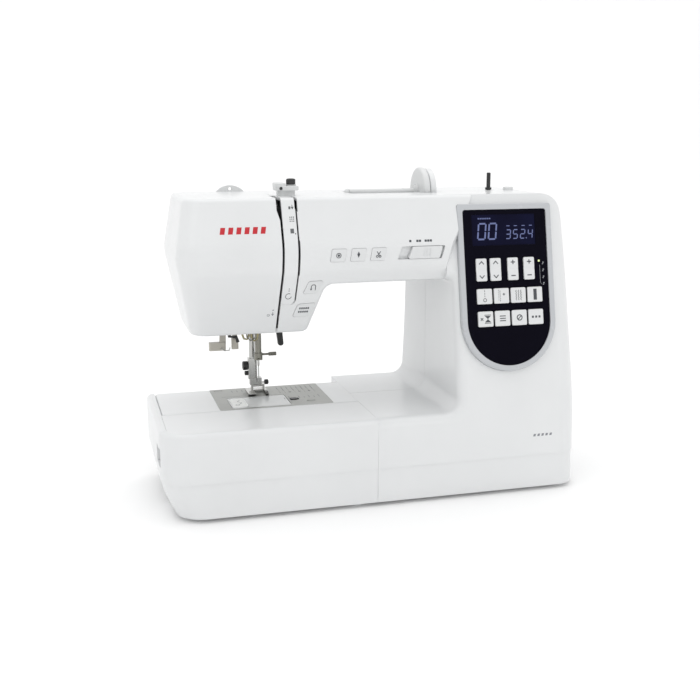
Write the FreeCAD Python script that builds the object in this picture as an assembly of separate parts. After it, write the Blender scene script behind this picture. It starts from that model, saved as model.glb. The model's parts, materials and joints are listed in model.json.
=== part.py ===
import FreeCAD, Part
import math
import os

# A free-arm computerised sewing machine.
# Millimetres.  Stations: x from the left end of the bed, y from the front face of the
# bed, z from the table.  save() moves every node so that the origin is the centre of
# the footprint, at table level: +X right, +Y to the back, +Z up.

V = FreeCAD.Vector

# ---- overall size ----
WIDTH = 416.0            # left end of the bed to the face of the handwheel
DEPTH = 180.0            # front of the bed to the back of the folded carry handle
WALL = 2.6               # moulded shell thickness
SEAM = 0.4               # joint line between two shells
FINE_SEAM = 0.2          # tight joint line round the bed and the keys
RUN = 0.4                # clearance round a moving part
SHAFT_FIT = 0.05         # radial play of a shaft in its bearing

# ---- bed ----
FOOT_GAP = 4.0           # underside of the casing above the table
BELT_Z = 36.5            # joint line round the bed
BAND_STEP = 0.8          # how far the band under the joint line stands back
BED_Z = 83.5             # working surface
BED_RIGHT = 403.0
BED_BACK = 175.0
TABLE_SPLIT = 197.0      # joint between the extension table and the base
SPLIT_GAP = 0.07         # half the gap of that joint
ARM_LEFT = 8.0           # left end of the free arm
ARM_FRONT = 68.5
ARM_BACK = 150.0
ARM_BOTTOM = 46.0

# ---- upper body ----
TOP_Z = 283.5
ARM_UNDER = 205.5        # underside of the upper arm
HEAD_UNDER = 157.0       # underside of the head
COLUMN_LEFT = 276.5      # inner wall of the column
SPLIT_Y = 100.0          # plane where the front and the rear casing meet
FACE_SEAM = 115.5        # right edge of the face cover

# ---- stitch line ----
NEEDLE_X = 110.0
NEEDLE_Y = 128.0
NEEDLE_R = 0.8
BAR_R = 3.2
PRESSER_X = 105.5
PRESSER_Y = 139.0
PRESSER_R = 3.0

# ---- drive ----
SHAFT_Y = 130.0
SHAFT_Z = 240.0
SHAFT_R = 4.0
LOWER_Y = 118.0
LOWER_Z = 57.0
LOWER_R = 3.5
WHEEL_R = 29.0
WHEEL_LEFT = 401.2
HOOK_X = 108.0
HOOK_Y = 104.0
HOOK_R = 22.0
HOOK_Z = (64.4, 76.9)
SHAFT_GEAR_R = 7.0
HOOK_GEAR_R = LOWER_Y - HOOK_Y - SHAFT_GEAR_R - 0.3
MOTOR = (74.0, 110.0)    # y, z of the motor shaft
DRIVE_PULLEY_R = 20.0
MOTOR_PULLEY_R = 10.0

# ---- control panel ----
PANEL_X = 328.5          # middle of the panel
PANEL_FOOT = (4.0, 126.0)    # y, z of the lowest point of the black face
PANEL_HEAD = (33.0, 269.5)   # y, z of its top edge
PANEL_HALF = 42.0        # half width of the black face
BEZEL = 5.4              # width of the white rim
PANEL_UP = math.hypot(PANEL_HEAD[0] - PANEL_FOOT[0], PANEL_HEAD[1] - PANEL_FOOT[1])
PANEL_RISE = (PANEL_HEAD[1] - PANEL_FOOT[1]) / PANEL_UP
PANEL_LEAN = (PANEL_HEAD[0] - PANEL_FOOT[0]) / PANEL_UP

os.makedirs("parts", exist_ok=True)


def save(name, *shapes):
    """Write one node, moved from stations to the centred frame."""
    body = shapes[0] if len(shapes) == 1 else Part.makeCompound(list(shapes))
    body = body.copy()
    body.translate(V(-WIDTH / 2, -DEPTH / 2, 0))
    body.exportStep("parts/" + name + ".step")


# ---------------------------------------------------------------- basic solids

def on_xy(z):
    return lambda a, b: V(a, b, z)


def on_xz(y):
    return lambda a, b: V(a, y, b)


def on_yz(x):
    return lambda a, b: V(x, a, b)


def on_panel(depth):
    """Panel plane: a to the right of its middle, b up its slope, depth outwards."""
    def put(a, b):
        y = PANEL_FOOT[0] + b * PANEL_LEAN - depth * PANEL_RISE
        z = PANEL_FOOT[1] + b * PANEL_RISE + depth * PANEL_LEAN
        return V(PANEL_X + a, y, z)
    return put


def outline(points, put):
    """Closed wire through (a, b, corner radius) points, laid on a plane by put."""
    ends = []
    count = len(points)
    for i in range(count):
        a, b, r = points[i]
        p = V(a, b, 0)
        if r <= 0:
            ends.append((p, p, None))
            continue
        before = (V(points[i - 1][0], points[i - 1][1], 0) - p).normalize()
        after = (V(points[(i + 1) % count][0], points[(i + 1) % count][1], 0) - p).normalize()
        half = before.getAngle(after) / 2
        reach = r / math.tan(half)
        centre = p + (before + after).normalize() * (r / math.sin(half))
        middle = centre + (p - centre).normalize() * r
        ends.append((p + before * reach, p + after * reach, middle))
    edges = []
    for i in range(count):
        start, end, middle = ends[i]
        if middle is not None:
            arc = Part.Arc(put(start.x, start.y), put(middle.x, middle.y), put(end.x, end.y))
            edges.append(arc.toShape())
        following = ends[(i + 1) % count][0]
        if (following - end).Length > 1e-6:
            line = Part.LineSegment(put(end.x, end.y), put(following.x, following.y))
            edges.append(line.toShape())
    return Part.Wire(edges)


def prism(points, put, run, inset=0.0):
    """Outline filled and swept along run; inset draws it inwards (outwards if < 0)."""
    face = Part.Face(outline(points, put))
    if inset:
        face = face.makeOffset2D(-inset)
    return face.extrude(run)


def rect(a0, a1, b0, b1, r=0.0):
    return [(a0, b0, r), (a1, b0, r), (a1, b1, r), (a0, b1, r)]


def box(x0, x1, y0, y1, z0, z1):
    return Part.makeBox(x1 - x0, y1 - y0, z1 - z0, V(x0, y0, z0))


def slab(x0, x1, y0, y1, z0, z1, r):
    """Box with its four upright corners rounded."""
    return prism(rect(x0, x1, y0, y1, r), on_xy(z0), V(0, 0, z1 - z0))


def rod(x, y, z, r, axis, length):
    return Part.makeCylinder(r, length, V(x, y, z), axis)


def tube(x, y, z, r, bore, axis, length):
    return rod(x, y, z, r, axis, length).cut(rod(x, y, z, bore, axis, length))


RIGHT = V(1, 0, 0)
BACK = V(0, 1, 0)
UP = V(0, 0, 1)


def join(shapes):
    whole = shapes[0]
    if len(shapes) > 1:
        whole = whole.fuse(shapes[1:])
    return whole.removeSplitter()


def belt_loop(x, y0, z0, r0, y1, z1, r1, width):
    """Solid bounded by a belt round two pulleys."""
    gap = math.hypot(y1 - y0, z1 - z0)
    along = math.atan2(z1 - z0, y1 - y0)
    spread = math.acos((r0 - r1) / gap)
    points = []
    for side in (-1, 1):
        turn = along + side * spread
        near = (y0 + r0 * math.cos(turn), z0 + r0 * math.sin(turn))
        away = (y1 + r1 * math.cos(turn), z1 + r1 * math.sin(turn))
        points.extend([near, away] if side < 0 else [away, near])
    web = prism([(a, b, 0) for a, b in points], on_yz(x), RIGHT * width)
    return join([web, rod(x, y0, z0, r0, RIGHT, width), rod(x, y1, z1, r1, RIGHT, width)])


def drill(shape, tools):
    return shape.cut(Part.makeCompound(tools)) if tools else shape


def soften(shape, radius, choose):
    """Round the edges that choose() picks out."""
    edges = [e for e in shape.Edges if choose(e)]
    return shape.makeFillet(radius, edges) if edges else shape


def upright(edge, least=3.0):
    return edge.BoundBox.ZLength > least


# ---------------------------------------------------------------- outer volumes

HEAD_PROFILE = [(38, TOP_Z, 0), (21, 239, 30), (25, 219, 24), (62, HEAD_UNDER, 0),
                (152, HEAD_UNDER, 0), (152, TOP_Z, 0)]
HEAD_OUTLINE = [(31, TOP_Z, 0), (21.6, 231, 40), (36.8, HEAD_UNDER, 0),
                (145, HEAD_UNDER, 7), (157.5, ARM_UNDER, 9), (300, ARM_UNDER, 0),
                (300, TOP_Z, 0)]
HEAD_FRONT_R = 18.0
HEAD_REAR_R = 11.0
HEAD_TOP_R = 5.0
HEAD_UNDER_R = 4.5
ARM_END_LOW = 266.0      # where the bulge of the arm ends: at the underside of the arm
ARM_END_TOP = 291.0      # and at its top
ARM_END_PLAN = [(-60, 0, 0), (ARM_END_LOW - 11, 12, 16), (ARM_END_LOW + 6, 34, 16),
                (ARM_END_LOW + 9, 60, 0), (ARM_END_LOW + 9, 200, 0), (-60, 200, 0)]
# level, front and back of the column, right wall at that level
COLUMN_SECTIONS = [(FOOT_GAP, 0.0, BED_BACK, 403.0), (30, 0.0, BED_BACK, 402.2),
                   (55, 0.05, BED_BACK - 0.1, 401.5), (75, 0.4, 174.4, 401.0),
                   (95, 2.4, 172.2, 400.6), (126, 7.5, 168.0, 399.8), (180, 17.6, 164.0, 398.6),
                   (239, 30.0, 161.0, 397.2), (290, 41.0, 159.0, 396.0)]
COLUMN_FRONT_R = 21.0
COLUMN_REAR_R = 14.0
COLUMN_OUTLINE = [(TABLE_SPLIT + SPLIT_GAP, FOOT_GAP, 0), (BED_RIGHT + 9, FOOT_GAP, 0),
                  (BED_RIGHT + 9, 190, 0), (387, TOP_Z, 26), (270, TOP_Z, 0),
                  (270, ARM_UNDER, 0), (COLUMN_LEFT, ARM_UNDER, 5),
                  (COLUMN_LEFT, BED_Z, 13), (TABLE_SPLIT + SPLIT_GAP, BED_Z, 0)]


def head_volume(inset):
    side = prism(HEAD_PROFILE, on_yz(0), RIGHT * 320, inset)
    front = prism(HEAD_OUTLINE, on_xz(0), BACK * 200, inset)
    body = side.common(front).removeSplitter()
    body = soften(body, HEAD_FRONT_R - inset,
                  lambda e: e.CenterOfMass.x < 60 and e.CenterOfMass.y < 80 and upright(e))
    body = soften(body, HEAD_REAR_R - inset,
                  lambda e: e.CenterOfMass.x < 60 and e.CenterOfMass.y > 130 and upright(e))
    body = soften(body, HEAD_TOP_R - inset, lambda e: flat_at(e, TOP_Z - inset)
                  and e.CenterOfMass.x < ARM_END_LOW)
    body = soften(body, HEAD_UNDER_R - inset, lambda e: flat_at(e, HEAD_UNDER + inset)
                  and e.CenterOfMass.x < 130)
    return body.common(arm_end(inset)).removeSplitter()


def arm_end(inset):
    """Leaning prism whose rounded front corner ends the bulge of the arm."""
    lean = V(ARM_END_TOP - ARM_END_LOW, 0, TOP_Z - ARM_UNDER)
    foot = outline(ARM_END_PLAN, on_xy(ARM_UNDER))
    foot.translate(lean * -0.8)
    face = Part.Face(foot)
    face = face.makeOffset2D(-inset) if inset else face
    return face.extrude(lean * 2.0)


def flat_at(edge, level):
    return abs(edge.BoundBox.ZMin - level) < 0.05 and edge.BoundBox.ZLength < 0.1


def column_section(level, front, rear, right, inset):
    """Plan outline at one level: upright front-right and rear-right corners rounded."""
    points = [(150, front + inset, 0), (right - inset, front + inset, COLUMN_FRONT_R - inset),
              (right - inset, rear - inset, COLUMN_REAR_R - inset), (150, rear - inset, 0)]
    return outline(points, on_xy(level))


def column_volume(inset, step=0.0):
    """Bed and column drawn inwards by inset; step moves only the upright faces in."""
    wires = [column_section(level, front + step, rear - step, right - step, inset)
             for level, front, rear, right in COLUMN_SECTIONS]
    body = Part.makeLoft(wires, True, False)
    front = prism(COLUMN_OUTLINE, on_xz(0), BACK * 200, inset)
    body = body.common(front).removeSplitter()
    return soften(body, 9 - inset, lambda e: abs(e.CenterOfMass.x - COLUMN_LEFT - inset) < 1
                  and e.CenterOfMass.y < 60 and e.CenterOfMass.z > 90 and upright(e, 20))


def housing_volume(inset):
    return column_volume(inset).fuse(head_volume(inset)).removeSplitter()


# ---------------------------------------------------------------- control panel

PANEL_STRAIGHT = PANEL_HALF      # height at which the round foot meets the straight sides
PANEL_CORNER_R = 2.5


def panel_prism(grow, depth, thick):
    """Shape of the black face grown by grow, from depth outwards to depth + thick."""
    half = PANEL_HALF + grow
    put = on_panel(depth)
    foot = Part.Arc(put(-half, PANEL_STRAIGHT), put(0, PANEL_STRAIGHT - half),
                    put(half, PANEL_STRAIGHT)).toShape()
    top = PANEL_UP + grow
    corner = PANEL_CORNER_R
    bend = corner * (1 - math.sqrt(0.5))
    edges = [
        foot,
        Part.LineSegment(put(half, PANEL_STRAIGHT), put(half, top - corner)).toShape(),
        Part.Arc(put(half, top - corner), put(half - bend, top - bend),
                 put(half - corner, top)).toShape(),
        Part.LineSegment(put(half - corner, top), put(corner - half, top)).toShape(),
        Part.Arc(put(corner - half, top), put(bend - half, top - bend),
                 put(-half, top - corner)).toShape(),
        Part.LineSegment(put(-half, top - corner), put(-half, PANEL_STRAIGHT)).toShape(),
    ]
    out = on_panel(depth + thick)(0, 0) - put(0, 0)
    return Part.Face(Part.Wire(edges)).extrude(out)


def panel_box(a0, a1, b0, b1, d0, d1, r=1.0):
    run = on_panel(d1)(0, 0) - on_panel(d0)(0, 0)
    return prism(rect(a0, a1, b0, b1, r), on_panel(d0), run)


BEZEL_SINK = 9.0
BEZEL_PROUD = 1.2
KEY_FLOOR = -1.2         # back of the black face
DISPLAY = (-33.0, 31.0, 113.0, 142.0)
ROCKERS = [(-31.3, -20.0), (-17.3, -5.7), (0.4, 11.7), (16.8, 28.3)]
ROCKER_V = (79.5, 101.4)
KEY_LEFT = [-31.8, -14.8, 2.3, 19.3]
KEY_W = 15.8
KEY_ROWS = {"upper": (58.1, 73.1), "lower": (36.9, 52.0)}
KEY_PROUD = 1.4
KEY_FIT = 0.35


def key_frames():
    """Every key: its name and its rectangle on the panel."""
    frames = []
    for i, (a0, a1) in enumerate(ROCKERS):
        frames.append(("rocker_key_%d" % (i + 1), a0, a1, ROCKER_V[0], ROCKER_V[1]))
    for row, (b0, b1) in KEY_ROWS.items():
        for i, a0 in enumerate(KEY_LEFT):
            frames.append(("%s_key_%d" % (row, i + 1), a0, a0 + KEY_W, b0, b1))
    return frames


def panel_bezel():
    ring = panel_prism(BEZEL, -BEZEL_SINK, BEZEL_SINK + BEZEL_PROUD)
    ring = soften(ring, 1.0, lambda e: on_front_plane(e, BEZEL_PROUD))
    ring = ring.cut(panel_prism(0.15, -5.0, 30))
    return ring.cut(panel_prism(-3.0, -BEZEL_SINK - 1, 30))


def on_front_plane(edge, depth):
    """True for an edge that lies in the panel plane raised by depth."""
    out = V(0, -PANEL_RISE, PANEL_LEAN)
    base = on_panel(depth)(0, 0)
    return all(abs((v.Point - base).dot(out)) < 0.01 for v in edge.Vertexes)


def panel_face():
    plate = panel_prism(0.0, KEY_FLOOR, -KEY_FLOOR)
    rim = panel_prism(0.0, -4.9, 4.9 + KEY_FLOOR).cut(panel_prism(-2.0, -5.0, 6))
    holes = [panel_box(a0, a1, b0, b1, -6, 2, 1.6) for _, a0, a1, b0, b1 in key_frames()]
    a0, a1, b0, b1 = DISPLAY
    holes.append(panel_box(a0, a1, b0, b1, -6, 2, 0.8))
    return plate.fuse(rim).removeSplitter().cut(Part.makeCompound(holes))


def panel_key(a0, a1, b0, b1):
    fit = KEY_FIT
    cap = panel_box(a0 + fit, a1 - fit, b0 + fit, b1 - fit, -4.0, KEY_PROUD, 1.3)
    cap = soften(cap, 0.6, lambda e: on_front_plane(e, KEY_PROUD))
    return cap


def rocker_key(a0, a1, b0, b1):
    """Key with a shallow valley across its middle, so that each end can be pressed."""
    cap = panel_key(a0, a1, b0, b1)
    middle = (b0 + b1) / 2
    ridge = on_panel(KEY_PROUD)
    valley = Part.Wire([
        Part.LineSegment(ridge(a0, middle - 5), on_panel(KEY_PROUD - 0.8)(a0, middle)).toShape(),
        Part.LineSegment(on_panel(KEY_PROUD - 0.8)(a0, middle), ridge(a0, middle + 5)).toShape(),
        Part.LineSegment(ridge(a0, middle + 5), ridge(a0, middle - 5)).toShape(),
    ])
    return cap.cut(Part.Face(valley).extrude(RIGHT * (a1 - a0)))


def lcd_display():
    a0, a1, b0, b1 = DISPLAY
    return panel_box(a0 + 0.1, a1 - 0.1, b0 + 0.1, b1 - 0.1, -4.0, -0.4, 0.7)


# ---------------------------------------------------------------- arm controls

def skew(x, z, w, h, r, lean=0.14):
    """Parallelogram key outline centred on (x, z), leaning to the right at its top."""
    s = lean * h / 2
    return [(x - w / 2 - s, z - h / 2, r), (x + w / 2 - s, z - h / 2, r),
            (x + w / 2 + s, z + h / 2, r), (x - w / 2 + s, z + h / 2, r)]


REVERSE_KEY = [(135.3, 196.4, 2), (149.3, 197.2, 2), (154.5, 209.6, 2), (140, 209.2, 2)]
START_KEY = [(128.4, 173.2, 2), (144.9, 173.8, 2), (149.6, 187.4, 2), (132.4, 186.6, 2)]
ARM_KEYS = {
    "lock_key": skew(165.5, 232.7, 14, 12, 1.5),
    "needle_key": skew(184.0, 232.7, 14, 12, 1.5),
    "cutter_key": skew(202.8, 232.7, 14, 12, 1.5),
    "reverse_key": REVERSE_KEY,
    "start_key": START_KEY,
}
ARM_KEY_DEPTH = 7.0
SPEED_SLOT = [(221, 227, 1.2), (264, 227, 1.2), (267, 239, 1.2), (225, 239, 1.2)]
SPEED_FLOOR = 4.0        # depth of the slider's recess
SPEED_KNOB = [(231.5, 227.4, 1.2), (261.4, 227.4, 1.2), (264.0, 238.6, 1.2),
              (235.5, 238.6, 1.2)]
SPEED_STEM = (244.5, 250.5)
SPEED_STEM_SLOT = (237.0, 252.6)
SPEED_RIBS = (246.0, 249.0, 252.0)


def skin(depth, thick):
    """Layer of the arm's front surface between depth and depth + thick under it."""
    outer = prism(HEAD_PROFILE, on_yz(100), RIGHT * 180, depth)
    inner = prism(HEAD_PROFILE, on_yz(99), RIGHT * 182, depth + thick)
    return outer.cut(inner).common(box(100, 280, 0, 90, 150, 260))


def arm_key(points):
    """Key whose face follows the arm; a collar behind the casing keeps it in."""
    cap = prism(points, on_xz(0), BACK * 90, FINE_SEAM).common(skin(-0.5, ARM_KEY_DEPTH))
    return cap.removeSplitter()


def speed_knob():
    """Slider knob with three upright ribs, its stem passing through the slot behind it."""
    cap = prism(SPEED_KNOB, on_xz(0), BACK * 90).common(skin(-0.9, SPEED_FLOOR + 0.6))
    ribs = [box(x, x + 0.8, 10, 60, 229.5, 236.5).common(skin(-1.4, 2.0)) for x in SPEED_RIBS]
    stem = box(SPEED_STEM[0], SPEED_STEM[1], 20, 33, 231.8, 234.2)
    return join([cap, stem.cut(skin(-30, 31)).common(skin(1, 8))] + ribs)


# ---------------------------------------------------------------- top of the arm

TROUGH = (186.0, 284.0, 68.0, 134.0)
PIN_Z = 284.0
PIN_Y = 101.0
DISC_X = (266.0, 272.5)  # left and right face of the spool disc
SEAT_X = (273.0, 278.5)  # round seat behind it
DISC_R = 22.5
PIN_R = 3.0


def top_cover():
    """Tray let into the top: a trough under the spool pin and a slot for the disc."""
    x0, x1, y0, y1 = TROUGH
    g = SEAM / 2
    tray = slab(x0 + g, x1 - g, y0 + g, y1 - g, 253, TOP_Z, 6)
    trough = rod(x0 + 8, PIN_Y, PIN_Z + 1, 19, RIGHT, 76)
    slot = rod(DISC_X[0] - 4.5, PIN_Y, PIN_Z, DISC_R + 2.5, RIGHT, SEAT_X[1] - DISC_X[0] + 4)
    under = slab(x0 + g + 2, x1 - g - 2, y0 + g + 2, y1 - g - 2, 253 - 1, TOP_Z - WALL, 5)
    cup = rod(x0 + 6, PIN_Y, PIN_Z + 1, 21, RIGHT, 80)
    cup2 = rod(DISC_X[0] - 6.5, PIN_Y, PIN_Z, DISC_R + 4.5, RIGHT, 20)
    under = under.cut(cup).cut(cup2)
    seat = rod(SEAT_X[0], PIN_Y, PIN_Z, DISC_R - 1.0, RIGHT, SEAT_X[1] - SEAT_X[0])
    seat = soften(seat, 1.2, lambda e: e.CenterOfMass.x < SEAT_X[0] + 0.1)
    seat = seat.common(box(200, 300, 0, 200, TOP_Z - 8, 320))
    tray = tray.cut(under).cut(trough).cut(slot).fuse(seat).removeSplitter()
    pin_hole = rod(SEAT_X[0] - 1, PIN_Y, PIN_Z, PIN_R + SHAFT_FIT, RIGHT, 8)
    return tray.cut(pin_hole)


def spool_pin():
    x0 = TROUGH[0]
    pin = rod(x0 + 9, PIN_Y, PIN_Z, PIN_R - 0.5, RIGHT, 82.5)
    ball = Part.makeSphere(PIN_R, V(x0 + 9, PIN_Y, PIN_Z))
    root = rod(DISC_X[0] - 5, PIN_Y, PIN_Z, PIN_R, RIGHT, SEAT_X[1] - DISC_X[0] + 5)
    return join([pin, ball, root])


def spool_disc():
    disc = rod(DISC_X[0], PIN_Y, PIN_Z, DISC_R, RIGHT, DISC_X[1] - DISC_X[0])
    disc = soften(disc, 2.0, lambda e: True)
    hub = rod(DISC_X[0] - 4, PIN_Y, PIN_Z, 6, RIGHT, 6)
    bore = rod(DISC_X[0] - 10, PIN_Y, PIN_Z, PIN_R + SHAFT_FIT, RIGHT, 20)
    return join([disc, hub]).cut(bore)


WINDER = (341.0, 100.0)
WINDER_R = 2.0


def winder_spindle():
    x, y = WINDER
    stem = rod(x, y, 262, WINDER_R, UP, 300.7 - 262)
    stem = soften(stem, 0.9, lambda e: e.CenterOfMass.z > 300)
    foot = rod(x, y, TOP_Z + 0.5, 3.2, UP, 2.0)
    wheel = rod(x, y, 262, 9.0, UP, 5)
    return join([stem, foot, wheel])


GUIDE_Z = 288.6          # underside and top of the winder guide's plate
GUIDE_TOP = 292.4
GUIDE_STEP = 295.4       # top of its raised left part
GUIDE_EYE_X = 121.6
GUIDE_KNOB_X = 132.8


def thread_guides():
    """Fixed guides on the top: winder tension guide, rear fin, winder stop."""
    neck = slab(120, 136, 63, 77, TOP_Z, GUIDE_Z + 0.5, 4)
    plate = slab(117, 139, 60, 80, GUIDE_Z, GUIDE_TOP, 5)
    plate = soften(plate, 0.9, lambda e: abs(e.CenterOfMass.z - GUIDE_TOP) < 0.01)
    step = slab(117, 126.5, 60, 80, GUIDE_TOP - 1, GUIDE_STEP, 4)
    step = soften(step, 0.9, lambda e: abs(e.CenterOfMass.z - GUIDE_STEP) < 0.01)
    plate = join([plate, neck, step])
    plate = plate.cut(rod(GUIDE_EYE_X, 55, (GUIDE_Z + GUIDE_TOP) / 2, 1.0, BACK, 12))
    fin = rod(88, 143.5, 271, 18.5, BACK, 3.0).common(box(60, 110, 140, 150, TOP_Z, 300))
    fin = fin.cut(rod(88, 140, 286.2, 1.6, BACK, 12))
    stop = rod(360, 95, TOP_Z, 5.0, UP, 3.2)
    stop = soften(stop, 0.8, lambda e: e.CenterOfMass.z > TOP_Z + 3)
    return Part.makeCompound([plate.fuse(tension_knob()).removeSplitter(), fin, stop])


def tension_knob():
    """Tension disc and screw on the plate of the winder guide."""
    post = rod(GUIDE_KNOB_X, 70, GUIDE_TOP - 0.5, 2.2, UP, 3.0)
    disc = rod(GUIDE_KNOB_X, 70, GUIDE_TOP + 0.3, 4.8, UP, 0.7)
    cap = rod(GUIDE_KNOB_X, 70, GUIDE_TOP + 1.5, 4.2, UP, 4.8)
    cap = soften(cap, 1.0, lambda e: e.CenterOfMass.z > GUIDE_TOP + 6)
    return join([post, disc, cap])


# ---------------------------------------------------------------- carry handle

HANDLE_X = (118.0, 258.0)
HANDLE_AXIS = (160.5, 262.0)
HANDLE_R = 5.0
GRIP = (DEPTH - 6.5, 221.0)
GRIP_R = 6.5
LEG_T = 11.0


def carry_handle():
    """U-shaped handle, folded down behind the arm; its legs turn in two sockets."""
    x0, x1 = HANDLE_X
    y, z = HANDLE_AXIS
    legs = [belt_loop(x, y, z, 7.0, GRIP[0], GRIP[1], GRIP_R, LEG_T) for x in (x0, x1 - LEG_T)]
    grip = rod(x0, GRIP[0], GRIP[1], GRIP_R, RIGHT, x1 - x0)
    pins = [rod(x0 - 6, y, z, HANDLE_R, RIGHT, 8), rod(x1 - 2, y, z, HANDLE_R, RIGHT, 8)]
    return join([grip] + legs + pins)


def handle_sockets():
    """Bosses of the rear casing that carry the handle's pins."""
    x0, x1 = HANDLE_X
    y, z = HANDLE_AXIS
    bosses = []
    for x in (x0 - 8.4, x1 + 0.4):
        lug = prism([(y - 18, z - 9, 0), (y + 2, z - 9, 8), (y + 9, z, 6), (y + 2, z + 9, 8),
                     (y - 18, z + 9, 0)], on_yz(x), RIGHT * 8)
        bosses.append(lug)
    return bosses


# ---------------------------------------------------------------- openings in the casing

def head_floor_holes():
    """Openings under the head for the needle bar, presser bar and the small levers."""
    bar = slab(94, 119, 117.5, 146.5, HEAD_UNDER - 5, HEAD_UNDER + 6, 3)
    threader = slab(58, 80, 119, 137, HEAD_UNDER - 5, HEAD_UNDER + 6, 2)
    sensor = slab(81, 91, 119, 137, HEAD_UNDER - 5, HEAD_UNDER + 6, 2)
    return [bar, threader, sensor]


TURN_Z = 186.4           # level of the U-turn between the two thread slots


def thread_slots():
    """Left slot along the face cover, right slot with a U-turn, take-up opening."""
    left = box(FACE_SEAM - 1.1, FACE_SEAM + 1.1, 0, 62, 150, 300)
    right = box(128.8, 130.3, 0, 62, TURN_Z + 8, 300)
    flare = prism([(112.0, 300, 0), (112.0, 273, 2), (115.0, 262, 0), (116.4, 262, 0),
                   (116.4, 300, 0)], on_xz(0), BACK * 70)
    right_top = prism([(128.4, 300, 0), (128.4, 274, 0), (131.0, 271, 0), (131.5, 300, 0)],
                      on_xz(0), BACK * 62)
    right_gap = prism(rect(128.7, 130.8, 215, 247, 1.0), on_xz(0), BACK * 45)
    turn = prism([(115, TURN_Z - 0.7, 0), (130.3, TURN_Z - 0.7, 6), (130.3, 205, 0),
                  (115, 205, 0)], on_xz(0), BACK * 45)
    turn = turn.cut(prism([(110, TURN_Z + 0.8, 0), (128.8, TURN_Z + 0.8, 4.5),
                           (128.8, 206, 0), (110, 206, 0)], on_xz(-1), BACK * 50))
    return [left, right, flare, right_top, right_gap, turn]


def casing_holes():
    holes = head_floor_holes()
    for points in ARM_KEYS.values():
        holes.append(prism(points, on_xz(0), BACK * 60))
    holes.append(box(SPEED_STEM_SLOT[0], SPEED_STEM_SLOT[1], 0, 60, 231, 235))
    holes.append(prism(SPEED_SLOT, on_xz(0), BACK * 60).common(skin(-1, SPEED_FLOOR + 1)))
    x0, x1, y0, y1 = TROUGH
    holes.append(slab(x0, x1, y0, y1, 250, 300, 6))
    holes.append(panel_prism(BEZEL + 0.15, -30, 60))
    x, y = WINDER
    holes.append(rod(x, y, 270, WINDER_R + RUN, UP, 30))
    holes.append(rod(380, SHAFT_Y, SHAFT_Z, SHAFT_R + 2, RIGHT, 40))
    holes.append(rod(390, SHAFT_Y, SHAFT_Z, WHEEL_R + 1.2, RIGHT, 40))
    holes.append(prism(rect(POWER_Y[0], POWER_Y[1], POWER_Z[0], POWER_Z[1], 3), on_yz(380),
                       RIGHT * 40))
    holes.append(rod(LIFTER_X, 140, LIFTER_Z, 6.4, BACK, 20))
    holes.append(box(TABLE_SPLIT - 1, TABLE_SPLIT + SEAM + WALL + 1, ARM_FRONT + WALL,
                     ARM_BACK - WALL, ARM_BOTTOM, BED_Z - WALL))
    return holes


# ---------------------------------------------------------------- casings

POWER_Y = (36.0, 88.0)
POWER_Z = (44.0, 74.0)


def wheel_recess():
    """Round wall round the handwheel, closed towards the inside."""
    dish = rod(388, SHAFT_Y, SHAFT_Z, WHEEL_R + 3.4, RIGHT, 8)
    dish = dish.cut(rod(390, SHAFT_Y, SHAFT_Z, WHEEL_R + 1.2, RIGHT, 10))
    return dish.cut(rod(380, SHAFT_Y, SHAFT_Z, SHAFT_R + 1.0, RIGHT, 20))


def speed_recess():
    """Moulded floor behind the speed slider."""
    body = prism(SPEED_SLOT, on_xz(0), BACK * 60, -1.5).common(skin(1.0, SPEED_FLOOR + 0.5))
    body = body.cut(prism(SPEED_SLOT, on_xz(0), BACK * 60).common(skin(-1, SPEED_FLOOR + 1)))
    return body.cut(box(SPEED_STEM_SLOT[0], SPEED_STEM_SLOT[1], 0, 60, 231, 235))


def housing_shell():
    shell = housing_volume(0).cut(housing_volume(WALL))
    shell = shell.cut(box(0, 500, -10, 200, -10, BELT_Z + FINE_SEAM / 2))
    return shell


def casings(shell):
    """Front casing, rear casing and face cover cut out of the one shell."""
    far = 500
    front = shell.common(box(-20, far, -20, SPLIT_Y - SEAM / 2, 0, 320))
    rear = shell.common(box(-20, far, SPLIT_Y + SEAM / 2, 220, 0, 320))
    cover_box = box(-20, FACE_SEAM, -20, SPLIT_Y, 150, 320)
    face = front.common(cover_box.common(box(-20, FACE_SEAM - SEAM / 2, -20, 200, 0, 320)))
    front = front.cut(box(-20, FACE_SEAM + SEAM / 2, -20, SPLIT_Y, 140, 320))
    front = front.fuse(speed_recess()).removeSplitter()
    rear = rear.fuse([wheel_recess().common(box(300, 420, SPLIT_Y + SEAM / 2, 200, 100, 300))]
                     + handle_sockets_trimmed()).removeSplitter()
    return front, rear, face


def handle_sockets_trimmed():
    y, z = HANDLE_AXIS
    inside = housing_volume(WALL)
    bore = rod(0, y, z, HANDLE_R + SHAFT_FIT, RIGHT, 500)
    return [lug.cut(inside).cut(bore) for lug in handle_sockets()]


def base_tray():
    """Lower tray: the bed to the right and the flat foot under the free arm."""
    outer = column_volume(0, BAND_STEP).common(box(0, 500, -10, 200, 0, BELT_Z - FINE_SEAM / 2))
    inner = column_volume(WALL).common(box(0, 500, -10, 200, FOOT_GAP + WALL, BELT_Z + 5))
    tray = outer.cut(inner)
    foot = slab(14, TABLE_SPLIT + 5, ARM_FRONT + 1.5, ARM_BACK, FOOT_GAP, 22, 2.5)
    hollow = slab(14 + WALL, TABLE_SPLIT + 12, ARM_FRONT + 1.5 + WALL, ARM_BACK - WALL,
                  FOOT_GAP + WALL, 22 - WALL, 2)
    return join([tray.cut(foot), foot]).cut(hollow)


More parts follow.
